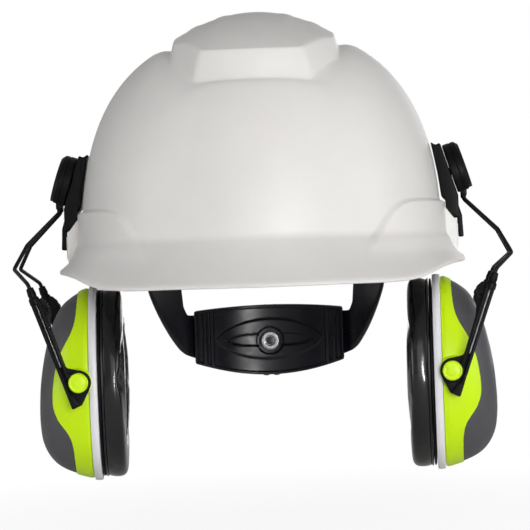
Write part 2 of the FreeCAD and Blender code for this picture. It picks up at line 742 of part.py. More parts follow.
def size_knob():
    """The round grip at the back of the nape housing, with finger grooves round its rim."""
    front = "dims.nape_y + 69.6"
    knob = new_body("knob_body")
    centre = ("0", "dims.nape_z")
    disc = circle_sketch(knob, "knob_disc", "XZ_Plane", centre, "dims.knob_radius", f"-({front} + 12)")
    extrude(knob, "Pad", disc, "12")
    shaft = cylinder("knob_bore", 3.12, 20, (0, "dims.nape_y + 60", "dims.nape_z"), (0, 1, 0))
    screw = cylinder("knob_rivet_bore", 1.6, 60, (0, "dims.nape_y + 60", "dims.nape_z"), (0, 1, 0))
    recess = cylinder("knob_recess", 15.5, 3, (0, f"{front} + 10", "dims.nape_z"), (0, 1, 0))
    grooves = []
    for i in range(18):
        tool = doc.addObject("Part::Cylinder", f"knob_grip_{i}")
        bind(tool, Radius="3.4", Height="10.2")
        angle = math.radians(20 * i)
        out = Vector(math.cos(angle), 0, math.sin(angle)) * (size["knob_radius"] + 1.6)
        base = out + Vector(0, size["nape_y"] + 69.6 + 2, size["nape_z"])
        tool.Placement = Placement(base, Rotation(Vector(0, 0, 1), Vector(0, 1, 0)))
        grooves.append(tool)
    keep(cut("size_knob", knob, shaft, screw, recess, *grooves), "size_knob")


def knob_rivet():
    """The tubular rivet that holds knob, pinion and housing together; its flare shows inside."""
    front = size["nape_y"] + 58.5
    back = size["nape_y"] + 69.6 + 10
    start = Vector(0, front - 1.5, size["nape_z"])
    along = Vector(0, 1, 0)
    flare = Part.makeCylinder(6.2, 1.1, start, along)
    shank = Part.makeCylinder(1.5, back - front + 2.3, start, along)
    head = Part.makeCylinder(4.0, 1.2, Vector(0, back + 0.05, size["nape_z"]), along)
    dimple = Part.makeCone(3.2, 2.6, 0.8, start, along)
    rivet = flare.fuse([shank, head]).cut(dimple).removeSplitter()
    keep(shape_feature("knob_rivet", rivet), "knob_rivet")


# ---- ear side: bracket and hub --------------------------------------------------------------


def slot_bracket(side):
    """The fixed bracket: its blade sits in the helmet slot and its back follows the dome."""
    profile = [("111.2", "22.4"), ("118", "22.4"), ("118", "35.4"), ("108.6", "65.6"), ("107.7", "66.8"),
               ("105.6", "65.7"), ("102.5", "67.6"), ("103.3", "64"), ("105.9", "50"), ("107.8", "35.5"),
               ("111.2", "32")]
    name = f"{side}_bracket"
    body = prism_body(name + "_body", "XZ_Plane", profile, "dims.bracket_half * 2")
    near, far = "dims.slot_inner + 0.4", "dims.slot_outer - 0.4"
    blade = [(near, "1"), (far, "1"), (far, "25"), (near, "25")]
    blade_sketch = outline_sketch(body, name + "_blade", "XZ_Plane", blade)
    extrude(body, "Pad", blade_sketch, "dims.blade_half * 2", True)
    tab = [("116.9", "28"), ("116.9", "17"), ("117.4", "11.4"), ("120", "11.4"), ("119.6", "17"),
           ("119.5", "23.5"), ("118", "28")]
    extrude(body, "Pad", outline_sketch(body, name + "_tab", "XZ_Plane", tab), "16", True)
    frame = hub_frame()
    bore = cylinder(name + "_bore", 2.52, 30, frame.multVec(Vector(-24, 0, 0)), (1, 0, 0))
    bore.Placement.Rotation = frame.Rotation.multiply(Rotation(Vector(0, 0, 1), Vector(1, 0, 0)))
    keep(cut(name, body, bore), f"{side}_slot_bracket", side_placement(side))


def hub_rivet(side):
    """The rivet that the hub swings on, fixed in the bracket."""
    head = Part.makeCylinder(5.0, 1.5, Vector(-1.7, 0, 0), Vector(1, 0, 0))
    shank = Part.makeCylinder(2.5, 13.0, Vector(-14.6, 0, 0), Vector(1, 0, 0))
    head = head.makeFillet(0.7, [e for e in head.Edges if e.BoundBox.XMin > -0.5])
    rivet = shape_feature(f"{side}_hub_rivet", shank.fuse(head).removeSplitter())
    keep(rivet, f"{side}_hub_rivet", side_placement(side).multiply(hub_frame()))


def hub_halves(side):
    """The swinging hub: an inner and an outer half that clamp the flip pin between them."""
    split = size["flip_x"]
    placement = side_placement(side).multiply(hub_frame())
    spans = (("hub_base", -size["hub_depth"], split - 0.02), ("hub_cover", split + 0.02, 0.0))
    for node, low, high in spans:
        name = f"{side}_{node}"
        disc = cylinder(name + "_disc", "dims.hub_radius", high - low, (low, 0, 0), (1, 0, 0))
        doc.recompute()
        rims = [i for i, e in enumerate(disc.Shape.Edges, start=1) if e.BoundBox.XLength < 0.01]
        face = [i for i in rims if disc.Shape.Edges[i - 1].CenterOfMass.x > -0.1]
        edge = doc.addObject("Part::Fillet", name + "_round")
        edge.Base = disc
        edge.Edges = [(i, 1.8, 1.8) for i in face] or [(i, 0.3, 0.3) for i in rims]
        notch = box(name + "_notch", (-20, "-dims.notch_half", -30), (-1.2, "dims.notch_half", -4.6))
        window = box(name + "_window", (-20, "-dims.notch_half", -30), (5, "dims.notch_half", -12.5))
        pin = cylinder(name + "_pin", 1.53, 27, ("dims.flip_x", -13.5, "dims.flip_z"), (0, 1, 0))
        bore = cylinder(name + "_bore", 2.56, 30, (-20, 0, 0), (1, 0, 0))
        seat = cylinder(name + "_seat", 5.2, 5, (-1.8, 0, 0), (1, 0, 0))
        keep(cut(name, edge, notch, window, pin, bore, seat), name, placement)


def flip_parts(side):
    """The pin, the leaf spring and the block that carries the two arm wires."""
    placement = side_placement(side).multiply(hub_frame())
    half_pin = 11.5
    pin_start = (size["flip_x"], -half_pin, size["flip_z"])
    pin = cylinder(f"{side}_flip_pin", 1.5, 2 * half_pin, pin_start, (0, 1, 0))
    pin_group = doc.addObject("Part::Compound", f"{side}_flip_pin_group")
    pin_group.Links = [pin]
    keep(pin_group, f"{side}_flip_pin", placement)
    leaf = [("-9", "-4.7"), ("0", "-5.3"), ("9", "-4.7"), ("9", "-5.2"), ("0", "-5.8"), ("-9", "-5.2")]
    spring = prism_body(f"{side}_flip_spring_body", "YZ_Plane", leaf, "6", "-4.9")
    keep(spring, f"{side}_flip_spring", placement)
    block = new_body(f"{side}_flip_block_body")
    x, z = FLIP_POINT.x, FLIP_POINT.z
    barrel = circle_sketch(block, f"{side}_barrel", "XZ_Plane", (x, z), "dims.block_radius")
    extrude(block, "Pad", barrel, "18.6", True)
    lug = [(x - 1.8, z), (x - 1.8, z - 7), (x + 2.1, z - 7), (x + 2.1, z)]
    extrude(block, "Pad", outline_sketch(block, f"{side}_lug", "XZ_Plane", lug), "16", True)
    bore = cylinder(f"{side}_block_bore", 1.55, 30, (x, -15, z), (0, 1, 0))
    holes = []
    for i, sign in enumerate((-1, 1)):
        base = (x, sign * size["wire_spread"], z - 7.2)
        holes.append(cylinder(f"{side}_block_hole_{i}", "dims.wire_radius + 0.02", 5.2, base, (0, 0, 1)))
    keep(cut(f"{side}_flip_block", block, bore, *holes), f"{side}_flip_block", side_placement(side))


def arm_wire(side, node, sign):
    """One spring wire from the flip block, out round the brim and down into its slider."""
    frame = slider_frame()
    bend = 9.5
    engaged = 42.0
    points = [
        Vector(FLIP_POINT.x, sign * size["wire_spread"], FLIP_POINT.z - 2.2),
        Vector(FLIP_POINT.x, sign * size["wire_spread"], FLIP_POINT.z - 8.6),
        Vector(140.5, sign * 14.0, 14.5),
        Vector(148.0, sign * 23.0, 0.5),
        frame.multVec(Vector(0, sign * size["wire_line"], bend)),
        frame.multVec(Vector(0, sign * size["wire_line"], -engaged)),
    ]
    keep(shape_feature(node, bent_wire(points, 3.2, size["wire_radius"])), node, side_placement(side))


# ---- ear side: sliders ---------------------------------------------------------------------


def slider(side, node, sign):
    """The plastic slide on one wire end. It carries the ring that the cup's button turns in."""
    rel = slider_frame().inverse().multVec(Vector(size["button_x"], 0, size["button_z"]))
    bx, bz = rel.x, rel.z
    inner = size["slider_inner"]

    def start(thickness):
        return inner if sign < 0 else -(inner + thickness)

    body = new_body(node + "_body")
    foot = bz - 13.6
    web = [(2.7, -1), (2.5, foot), (-3.4, foot + 1), (-4.6, bz - 6), (-4.6, bz + 6), (-2.6, bz + 12),
           (-4.4, -30), (-6.2, -12), (-6.2, -4), (-4.4, -1)]
    extrude(body, "Pad", outline_sketch(body, node + "_web", "XZ_Plane", web, start(3.0)), 3.0)
    ring = circle_sketch(body, node + "_ring", "XZ_Plane", (bx, bz), 7.4, start(3.0))
    extrude(body, "Pad", ring, 3.0)
    rail = [(2.8, 0), (2.5, bz + 8), (2.5, foot), (-0.6, foot + 0.4), (-0.6, bz + 6.5), (-2.4, bz + 12),
            (-2.8, 0)]
    extrude(body, "Pad", outline_sketch(body, node + "_rail", "XZ_Plane", rail, start(5.6)), 5.6)
    middle = sign * size["wire_line"]
    collar = doc.addObject("Part::Cone", node + "_collar")
    bind(collar, Radius1="2.7", Radius2="2.0", Height="8.0")
    collar.Placement = Placement(Vector(0, middle, -1), Rotation())
    hole = cylinder(node + "_hole", "dims.button_neck + 0.08", 20, (bx, middle - 10, bz), (0, 1, 0))
    bore = cylinder(node + "_bore", "dims.wire_radius + 0.08", 60, (0, middle, -46), (0, 0, 1))
    low, high = sorted((middle + sign * 0.4, middle + sign * 8))
    groove = box(node + "_groove", (-0.95, low, -45), (0.95, high, -4))
    solid = boolean("Fuse", node + "_solid", body, collar)
    keep(cut(node, solid, hole, bore, groove), node, side_placement(side).multiply(slider_frame()))


# ---- ear side: cup -------------------------------------------------------------------------


def cup_shape(side, name, shrink):
    """The ear cup's rounded body, made smaller all round by an amount."""
    ovals = []
    for i, (along, drop, half_height, half_width) in enumerate(CUP_OVALS):
        back = shrink if i else 0
        if i == len(CUP_OVALS) - 1 and shrink:
            continue
        ovals.append((along - back, f"dims.cup_z - {drop}", half_height - shrink, half_width - shrink))
    if shrink:
        ovals[0] = (CUP_OVALS[0][0] - 1, *ovals[0][1:])
    return oval_loft(f"{side}_{name}", ovals, "x")


def edge_prism(side, name, shift):
    """Everything outwards of the line between frame and cover, moved outwards by a shift."""
    points = [Vector(x + shift, -70, z) for x, z in FRAME_EDGE]
    curve = Part.BSplineCurve()
    curve.interpolate(points)
    far = 170
    last, first = points[-1], points[0]
    corners = [last, Vector(far, -70, last.z), Vector(far, -70, first.z), first]
    sides = [Part.LineSegment(a, b).toShape() for a, b in zip(corners, corners[1:])]
    face = Part.Face(Part.Wire([curve.toShape()] + sides))
    return shape_feature(f"{side}_{name}", face.extrude(Vector(0, 140, 0)))


def cup_shell(side):
    """The cup's coloured frame, with its two pivot bosses, and its outer cover."""
    placement = side_placement(side)
    outside, inside = cup_shape(side, "cup_outside", 0), cup_shape(side, "cup_inside", CUP_WALL)
    hollow = cut(f"{side}_cup_hollow", outside, inside)
    cover = boolean("Common", f"{side}_cup_cover", hollow, edge_prism(side, "cover_side", 0.15))
    keep(cover, f"{side}_cup_cover", placement)
    x, z = size["button_x"], size["button_z"]
    bosses = []
    stems = []
    for i, sign in enumerate((-1, 1)):
        direction = (0, sign, 0)
        bosses.append(cylinder(f"{side}_boss_{i}", 7.0, 11.2, (x, sign * 36, z), direction))
        stems.append(cylinder(f"{side}_stem_{i}", 3.02, 20, (x, sign * 34, z), direction))
    skin = boolean("Cut", f"{side}_frame_skin", hollow, edge_prism(side, "frame_side", -0.15))
    far = "dims.spacer_back + 0.02"
    ring_side = box(f"{side}_boss_limit", ("dims.spacer_back - 10", -60, -100), (far, 60, -40))
    studs = boolean("Cut", f"{side}_bosses", boolean("Fuse", f"{side}_boss_pair", *bosses), ring_side)
    solid = boolean("Fuse", f"{side}_frame_solid", skin, studs)
    keep(cut(f"{side}_cup_frame", solid, *stems), f"{side}_cup_frame", placement)


def pivot_buttons(side):
    """The two studs that the sliders' rings turn on, one in front of the cup and one behind."""
    x, z = size["button_x"], size["button_z"]
    studs = []
    for sign in (-1, 1):
        along = Vector(0, sign, 0)
        stem = Part.makeCylinder(3.0, 9.0, Vector(x, sign * 38.6, z), along)
        neck = Part.makeCylinder(size["button_neck"], 3.5, Vector(x, sign * 47.3, z), along)
        head = Part.makeCylinder(size["button_head"], 2.2, Vector(x, sign * 50.75, z), along)
        far = max(head.Faces, key=lambda f: sign * f.CenterOfMass.y)
        head = head.makeFillet(0.8, far.Edges)
        studs.append(stem.fuse([neck, head]).removeSplitter())
    buttons = shape_feature(f"{side}_pivot_buttons", Part.makeCompound(studs))
    keep(buttons, f"{side}_pivot_buttons", side_placement(side))


def cup_rings(side):
    """Spacer ring, cushion plate, cushion and foam liner."""
    placement = side_placement(side)
    spacer = oval_ring(f"{side}_spacer", "dims.plate_back", "dims.spacer_back - 0.05",
                       ("dims.spacer_half_height", "dims.spacer_half_width"), ("40", "29"))
    keep(spacer, f"{side}_spacer_ring", placement)
    plate = oval_ring(f"{side}_plate", "dims.cushion_back", "dims.plate_back - 0.02",
                      ("dims.spacer_half_height - 2", "dims.spacer_half_width - 2"), ("33", "23"))
    keep(plate, f"{side}_cushion_plate", placement)
    cushion = oval_ring(f"{side}_cushion_body", "dims.cushion_face", "dims.cushion_back - 0.02",
                        ("dims.spacer_half_height - 1", "dims.spacer_half_width - 1"), ("34", "23"))
    soft = doc.addObject("Part::Fillet", f"{side}_cushion_round")
    soft.Base = cushion
    doc.recompute()
    face, roundness = size["cushion_face"], 4.5
    rims = []
    for i, edge in enumerate(cushion.Shape.Edges, start=1):
        if abs(edge.BoundBox.XMin - face) < 0.1 and edge.BoundBox.XLength < 0.1:
            rims.append((i, roundness, roundness))
    soft.Edges = rims
    keep(soft, f"{side}_ear_cushion", placement)
    foam = oval_loft(f"{side}_foam_pad", [(x, "dims.cup_z", "37", "26") for x in ("101", "111")], "x")
    keep(foam, f"{side}_foam_liner", placement)


# ---- assembly ------------------------------------------------------------------------------


def build():
    """Builds every sub-part."""
    helmet_shell()
    headband()
    brow_pad()
    nape_straps()
    crown_straps()
    suspension_keys()
    nape_housing()
    size_pinion()
    size_rack("right_size_rack", True)
    size_rack("left_size_rack", False)
    size_knob()
    knob_rivet()
    for side in ("left", "right"):
        slot_bracket(side)
        hub_rivet(side)
        hub_halves(side)
        flip_parts(side)
        # The right side is the left one turned half round, so its front pieces are built at the back.
        front = -1 if side == "left" else 1
        for where, sign in (("front", front), ("rear", -front)):
            arm_wire(side, f"{side}_{where}_wire", sign)
            slider(side, f"{side}_{where}_slider", sign)
        cup_shell(side)
        pivot_buttons(side)
        cup_rings(side)


def check_and_write():
    """Stops on any failed object or bad shape, then writes each sub-part."""
    doc.recompute()
    for thing in doc.Objects:
        if "Invalid" in thing.State or "Error" in thing.State:
            raise SystemExit(f"{thing.Name} failed: {thing.State}")
    for node, thing in parts.items():
        shape = thing.Shape
        if shape.isNull() or not shape.isValid() or not shape.Solids:
            raise SystemExit(f"{node} has no valid solid")
    os.makedirs("parts", exist_ok=True)
    for node, thing in parts.items():
        thing.Shape.exportStep(f"parts/{node}.step")
        print(node, len(thing.Shape.Solids), round(thing.Shape.Volume))


build()
check_and_write()
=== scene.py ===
"""Looks for a hard hat with an ear cup on a sprung wire arm at each side.

Lengths in this script are millimetres, in the CAD model's frame: +Z up, -Y to the wearer's front,
+X to the wearer's left. MM turns them into Blender's metres when a mesh is made.
Each ear side is described once, in the left side's frame before its toe-in, and placed twice.
"""

import json
import math

import bmesh
import bpy
import numpy as np
from mathutils import Matrix, Vector, noise


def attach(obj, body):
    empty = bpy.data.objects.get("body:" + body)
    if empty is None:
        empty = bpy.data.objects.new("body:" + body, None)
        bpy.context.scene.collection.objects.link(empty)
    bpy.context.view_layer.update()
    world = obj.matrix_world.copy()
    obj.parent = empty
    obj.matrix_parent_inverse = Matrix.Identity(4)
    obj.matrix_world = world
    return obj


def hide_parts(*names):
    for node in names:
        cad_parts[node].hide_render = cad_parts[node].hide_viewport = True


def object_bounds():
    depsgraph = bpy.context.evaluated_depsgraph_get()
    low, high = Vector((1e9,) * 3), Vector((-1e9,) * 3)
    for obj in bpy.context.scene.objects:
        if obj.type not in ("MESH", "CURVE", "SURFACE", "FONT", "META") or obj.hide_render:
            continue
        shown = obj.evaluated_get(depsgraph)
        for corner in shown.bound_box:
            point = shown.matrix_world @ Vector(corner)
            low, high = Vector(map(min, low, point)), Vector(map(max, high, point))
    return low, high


MM = 0.001
TAU = 2 * math.pi

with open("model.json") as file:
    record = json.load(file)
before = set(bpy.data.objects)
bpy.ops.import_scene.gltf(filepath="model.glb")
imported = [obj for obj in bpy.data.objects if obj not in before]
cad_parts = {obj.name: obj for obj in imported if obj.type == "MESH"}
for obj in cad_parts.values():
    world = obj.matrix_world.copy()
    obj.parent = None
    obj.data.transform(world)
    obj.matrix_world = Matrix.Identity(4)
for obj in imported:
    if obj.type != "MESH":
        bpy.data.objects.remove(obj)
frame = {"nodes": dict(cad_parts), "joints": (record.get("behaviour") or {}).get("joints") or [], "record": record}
CAD_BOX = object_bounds()
JOINTS = {joint["name"]: joint for joint in frame["joints"]}


# ---- places taken from the frame ----


def joint_place(name):
    """Where a hinge is, in millimetres."""
    return Vector(JOINTS[name]["pos_m"]) / MM


# The left swing axis points outwards and up, so its flat part gives the toe-in.
SWING_AXIS = Vector(JOINTS["left_swing"]["axis"])
TOE_IN = math.atan2(-SWING_AXIS.y, SWING_AXIS.x)
HUB_LEAN = math.atan2(SWING_AXIS.z, math.hypot(SWING_AXIS.x, SWING_AXIS.y))
HEIGHT_AXIS = Vector(JOINTS["left_height"]["axis"])
SLIDER_LEAN = math.atan2(math.hypot(HEIGHT_AXIS.x, HEIGHT_AXIS.y), -HEIGHT_AXIS.z)
SLOT_AXIS = 112.0  # the helmet slot that each side's toe-in turns about


def side_matrix(side):
    """From the left side's frame before its toe-in to the place of one ear side."""
    sign = 1 if side == "left" else -1
    toe = -TOE_IN if side == "left" else math.pi + TOE_IN
    return (
        Matrix.Translation((sign * SLOT_AXIS, 0, 0))
        @ Matrix.Rotation(toe, 4, "Z")
        @ Matrix.Translation((-SLOT_AXIS, 0, 0))
    )


def untoed(point):
    """A left-side place in the frame before the toe-in."""
    return side_matrix("left").inverted() @ Vector(point)


HUB = untoed(joint_place("left_swing"))
FLIP = untoed(joint_place("left_flip"))
BUTTON = untoed(joint_place("left_tilt"))
HUB_FRAME = Matrix.Translation(HUB) @ Matrix.Rotation(-HUB_LEAN, 4, "Y")
SLIDER_TOP = Vector((135.0, 0.0, -17.4))
SLIDER_FRAME = Matrix.Translation(SLIDER_TOP) @ Matrix.Rotation(SLIDER_LEAN, 4, "Y")
WIRE_LINE = 50.5  # distance of each wire and slide from the cup's middle, front and back
WIRE_RADIUS = 1.2


# ---- curves and profiles ----


def ease(t):
    """0 to 1 with a soft start and end."""
    t = np.clip(t, 0.0, 1.0)
    return t * t * (3 - 2 * t)


def arch(t):
    """Height of a unit half circle at a distance from its middle."""
    return np.sqrt(np.clip(1 - t**2, 0, 1))


def bell(t):
    """1 in the middle, fading to 0 beyond a distance of 1."""
    return np.exp(-(t**2))


def signed_power(value, power):
    """A power that keeps the sign."""
    return np.sign(value) * np.abs(value) ** power


def columns(*values):
    """Points from their coordinates, each a row of numbers or one number for all."""
    return np.stack(np.broadcast_arrays(*values), 1)


def unit(rows):
    """Each row scaled to length 1."""
    return rows / np.linalg.norm(rows, axis=1)[:, None]


def ring_angles(count):
    """Angles evenly spaced round a full turn."""
    return np.linspace(0, TAU, count, endpoint=False)


def turn(degrees, axis):
    """A rotation matrix."""
    return Matrix.Rotation(math.radians(degrees), 4, axis)


def rounded(points, steps=5, closed=True):
    """A polyline whose corners are rounded. Each point is (x, y) or (x, y, radius)."""
    out = []
    count = len(points)
    for i, point in enumerate(points):
        here = np.array(point[:2], float)
        radius = point[2] if len(point) > 2 else 0.0
        if radius == 0 or (not closed and i in (0, count - 1)):
            out.append(here)
            continue
        before = np.array(points[i - 1][:2], float) - here
        after = np.array(points[(i + 1) % count][:2], float) - here
        reach_limit = 0.49 * min(np.linalg.norm(before), np.linalg.norm(after))
        before /= np.linalg.norm(before)
        after /= np.linalg.norm(after)
        half = math.acos(np.clip(before @ after, -1, 1)) / 2
        reach = min(radius / math.tan(half), reach_limit)
        a, b = here + before * reach, here + after * reach
        for k in range(steps + 1):
            t = k / steps
            out.append(a * (1 - t) ** 2 + here * 2 * t * (1 - t) + b * t * t)
    return np.array(out)


def circle(radius, count, x, y):
    """Points round a circle."""
    angles = ring_angles(count)
    return columns(x + radius * np.cos(angles), y + radius * np.sin(angles))


def resample(points, count):
    """Points evenly spaced along an open polyline."""
    steps = np.linalg.norm(np.diff(points, axis=0), axis=1)
    along = np.concatenate([[0], np.cumsum(steps)])
    places = np.linspace(0, along[-1], count)
    return columns(*(np.interp(places, along, line) for line in points.T))


def catmull(rows, per_span):
    """A smooth curve through rows of numbers."""
    rows = np.array(rows, float)
    padded = np.vstack([2 * rows[0] - rows[1], rows, 2 * rows[-1] - rows[-2]])
    out = []
    for i in range(len(rows) - 1):
        p0, p1, p2, p3 = padded[i : i + 4]
        bend, twist = 2 * p0 - 5 * p1 + 4 * p2 - p3, 3 * p1 - p0 - 3 * p2 + p3
        for t in np.arange(per_span) / per_span:
            out.append(0.5 * (2 * p1 + (p2 - p0) * t + bend * t * t + twist * t**3))
    return np.array(out + [rows[-1]])


# ---- meshes ----


def add_object(name, data):
    """A new object in the scene."""
    made = bpy.data.objects.new(name, data)
    bpy.context.scene.collection.objects.link(made)
    return made


def evaluated(made):
    """The object with its modifiers applied."""
    return made.evaluated_get(bpy.context.evaluated_depsgraph_get())


def outward_mesh(name, solid):
    """A mesh from a vertex and face pair, its faces turned outwards."""
    mesh = bpy.data.meshes.new(name)
    mesh.from_pydata((np.asarray(solid[0]) * MM).tolist(), [], solid[1])
    work = bmesh.new()
    work.from_mesh(mesh)
    bmesh.ops.recalc_face_normals(work, faces=work.faces)
    work.to_mesh(mesh)
    work.free()
    return mesh


def shade(mesh, sharp):
    """Smooth shading that breaks at edges sharper than an angle in degrees."""
    mesh.polygons.foreach_set("use_smooth", [True] * len(mesh.polygons))
    mesh.set_sharp_from_angle(angle=math.radians(sharp))


def loft(rings, join=False, caps=False):
    """Vertices and faces through rings of points. A ring of one point is a pole."""
    starts = np.cumsum([0] + [len(r) for r in rings])
    faces = []
    pairs = [(i, i + 1) for i in range(len(rings) - 1)]
    if join:
        pairs.append((len(rings) - 1, 0))
    for i, j in pairs:
        a, b = len(rings[i]), len(rings[j])
        for k in range(max(a, b)):
            n = k + 1 if k + 1 < max(a, b) else 0
            if a == 1:
                faces.append((starts[i], starts[j] + n, starts[j] + k))
            elif b == 1:
                faces.append((starts[i] + k, starts[i] + n, starts[j]))
            else:
                faces.append((starts[i] + k, starts[i] + n, starts[j] + n, starts[j] + k))
    if caps:
        faces.append(tuple(range(starts[0], starts[1])))
        faces.append(tuple(range(starts[-2], starts[-1])))
    return np.vstack(rings), [tuple(int(v) for v in f) for f in faces]


def merge(*solids):
    """Several vertex and face pairs as one."""
    verts, faces, start = [], [], 0
    for points, polygons in solids:
        verts.append(np.asarray(points, float))
        faces += [tuple(v + start for v in polygon) for polygon in polygons]
        start += len(points)
    return np.vstack(verts), faces


def moved(solid, matrix):
    """A vertex and face pair, placed by a matrix in millimetres."""
    points = np.asarray(solid[0], float)
    m = np.array(matrix)
    return points @ m[:3, :3].T + m[:3, 3], solid[1]


def lathe(profile, count=48, steps=5):
    """A solid turned about Z from (radius, height, rounding) corners. Ends with radius 0 close it."""
    angles = ring_angles(count)
    rings = []
    for radius, height in rounded(profile, steps, closed=False):
        on_axis = radius < 1e-6
        ring = columns(radius * np.cos(angles), radius * np.sin(angles), height)
        rings.append(np.array([[0.0, 0.0, height]]) if on_axis else ring)
    return loft(rings)


def washer(profile, count, steps):
    """A ring turned about Z from a closed loop of (radius, height, rounding) corners."""
    angles = ring_angles(count)
    loop = rounded(profile, steps)
    return loft([columns(r * np.cos(angles), r * np.sin(angles), h) for r, h in loop], join=True)


def plate(outer, low, high, edge, holes=(), corner=5, bevel=3):
    """A flat plate in the XY plane between two heights, with a rounded outline, rounded edges and holes."""
    curve = bpy.data.curves.new("outline", "CURVE")
    curve.dimensions = "2D"
    curve.fill_mode = "BOTH"
    for outline, wanted in [(rounded(outer, corner), 1)] + [(hole, -1) for hole in holes]:
        x, y = outline.T
        area = np.sum(x * np.roll(y, -1) - np.roll(x, -1) * y)
        if area * wanted < 0:
            outline = outline[::-1]
        spline = curve.splines.new("POLY")
        spline.points.add(len(outline) - 1)
        for target, point in zip(spline.points, outline):
            target.co = (point[0], point[1], 0, 1)
        spline.use_cyclic_u = True
    curve.extrude = (high - low) / 2 - edge
    curve.bevel_depth = edge
    curve.bevel_resolution = bevel
    curve.offset = -edge
    holder = add_object("outline", curve)
    mesh = bpy.data.meshes.new_from_object(evaluated(holder))
    work = bmesh.new()
    work.from_mesh(mesh)
    bmesh.ops.remove_doubles(work, verts=work.verts, dist=1e-3)
    bmesh.ops.dissolve_degenerate(work, edges=work.edges, dist=1e-4)
    points = np.array([v.co for v in work.verts])
    points[:, 2] += (low + high) / 2
    faces = [tuple(v.index for v in f.verts) for f in work.faces]
    work.free()
    bpy.data.objects.remove(holder)
    bpy.data.curves.remove(curve)
    bpy.data.meshes.remove(mesh)
    return points, faces


XZ = Matrix(((1, 0, 0, 0), (0, 0, -1, 0), (0, 1, 0, 0), (0, 0, 0, 1)))  # plate x, y to X, Z; up to -Y


def block(low, high, edge=0.5):
    """A box between two corners with rounded edges."""
    outer = [(x, y, edge) for x, y in ((low[0], low[1]), (high[0], low[1]), (high[0], high[1]), (low[0], high[1]))]
    return plate(outer, low[2], high[2], edge, corner=3, bevel=2)


def fillet_path(points, radius, steps=10):
    """A path through points with its corners bent to a radius."""
    points = [np.array(p, float) for p in points]
    path = [points[0]]
    for before, corner, after in zip(points, points[1:], points[2:]):
        back = (before - corner) / np.linalg.norm(before - corner)
        on = (after - corner) / np.linalg.norm(after - corner)
        half = math.acos(np.clip(back @ on, -1, 1)) / 2
        centre = corner + (back + on) / np.linalg.norm(back + on) * radius / math.sin(half)
        a = corner + back * radius / math.tan(half) - centre
        b = corner + on * radius / math.tan(half) - centre
        angle = math.acos(np.clip(a @ b / radius**2, -1, 1))
        for k in range(steps + 1):
            t = k / steps
            path.append(centre + (a * math.sin((1 - t) * angle) + b * math.sin(t * angle)) / math.sin(angle))
    path.append(points[-1])
    return np.array(path)


def tube(path, radius, count=20):
    """A round rod along a path, with rounded ends."""
    path = np.asarray(path, float)
    tangents = unit(np.gradient(path, axis=0))
    side = np.cross(tangents[0], [0.31, 0.87, 0.38])
    side /= np.linalg.norm(side)
    angles = ring_angles(count)
    rings = []
    last = len(path) - 1
    for i, (centre, along) in enumerate(zip(path, tangents)):
        side = side - along * (side @ along)
        side /= np.linalg.norm(side)
        other = np.cross(along, side)
        circle_at = np.outer(np.cos(angles), side) + np.outer(np.sin(angles), other)
        if i in (0, last):
            out = -1 if i == 0 else 1
            ends = [(centre + out * along * radius * 0.35)[None, :]]
            for r, h in ((0.55, 0.3), (0.88, 0.13), (1.0, 0.0)):
                ends.append(centre + out * along * radius * h + circle_at * radius * r)
            rings += ends if i == 0 else ends[::-1]
        else:
            rings.append(centre + circle_at * radius)
    return loft(rings)


def ribbon(centres, outs, ups, section):
    """A strip swept along a line: at each centre a closed section lies along its out and up vectors."""
    x, y = np.asarray(section, float).T
    return loft([c + np.outer(x, o) + np.outer(y, u) for c, o, u in zip(centres, outs, ups)], caps=True)


def piece(name, solid, body, finish, stands_for=(), place=None, sharp=32.0, subdivide=0):
    """Makes one object from a vertex and face pair and hangs it on its body."""
    mesh = outward_mesh(name, solid if place is None else moved(solid, place))
    shade(mesh, sharp)
    slot_name, shader = FINISHES[finish]
    mesh.materials.append(shader)
    made = add_object(name, mesh)
    if subdivide:
        smooth = made.modifiers.new("smooth", "SUBSURF")
        smooth.levels = smooth.render_levels = subdivide
    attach(made, body)
    if stands_for:
        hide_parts(*stands_for)
    return made


# ---- materials ----

BLACK = (0.0042, 0.0042, 0.0050)
WIRE_WEAR = (-0.0195, -0.0225)  # heights in metres between which the coating fades to bare wire


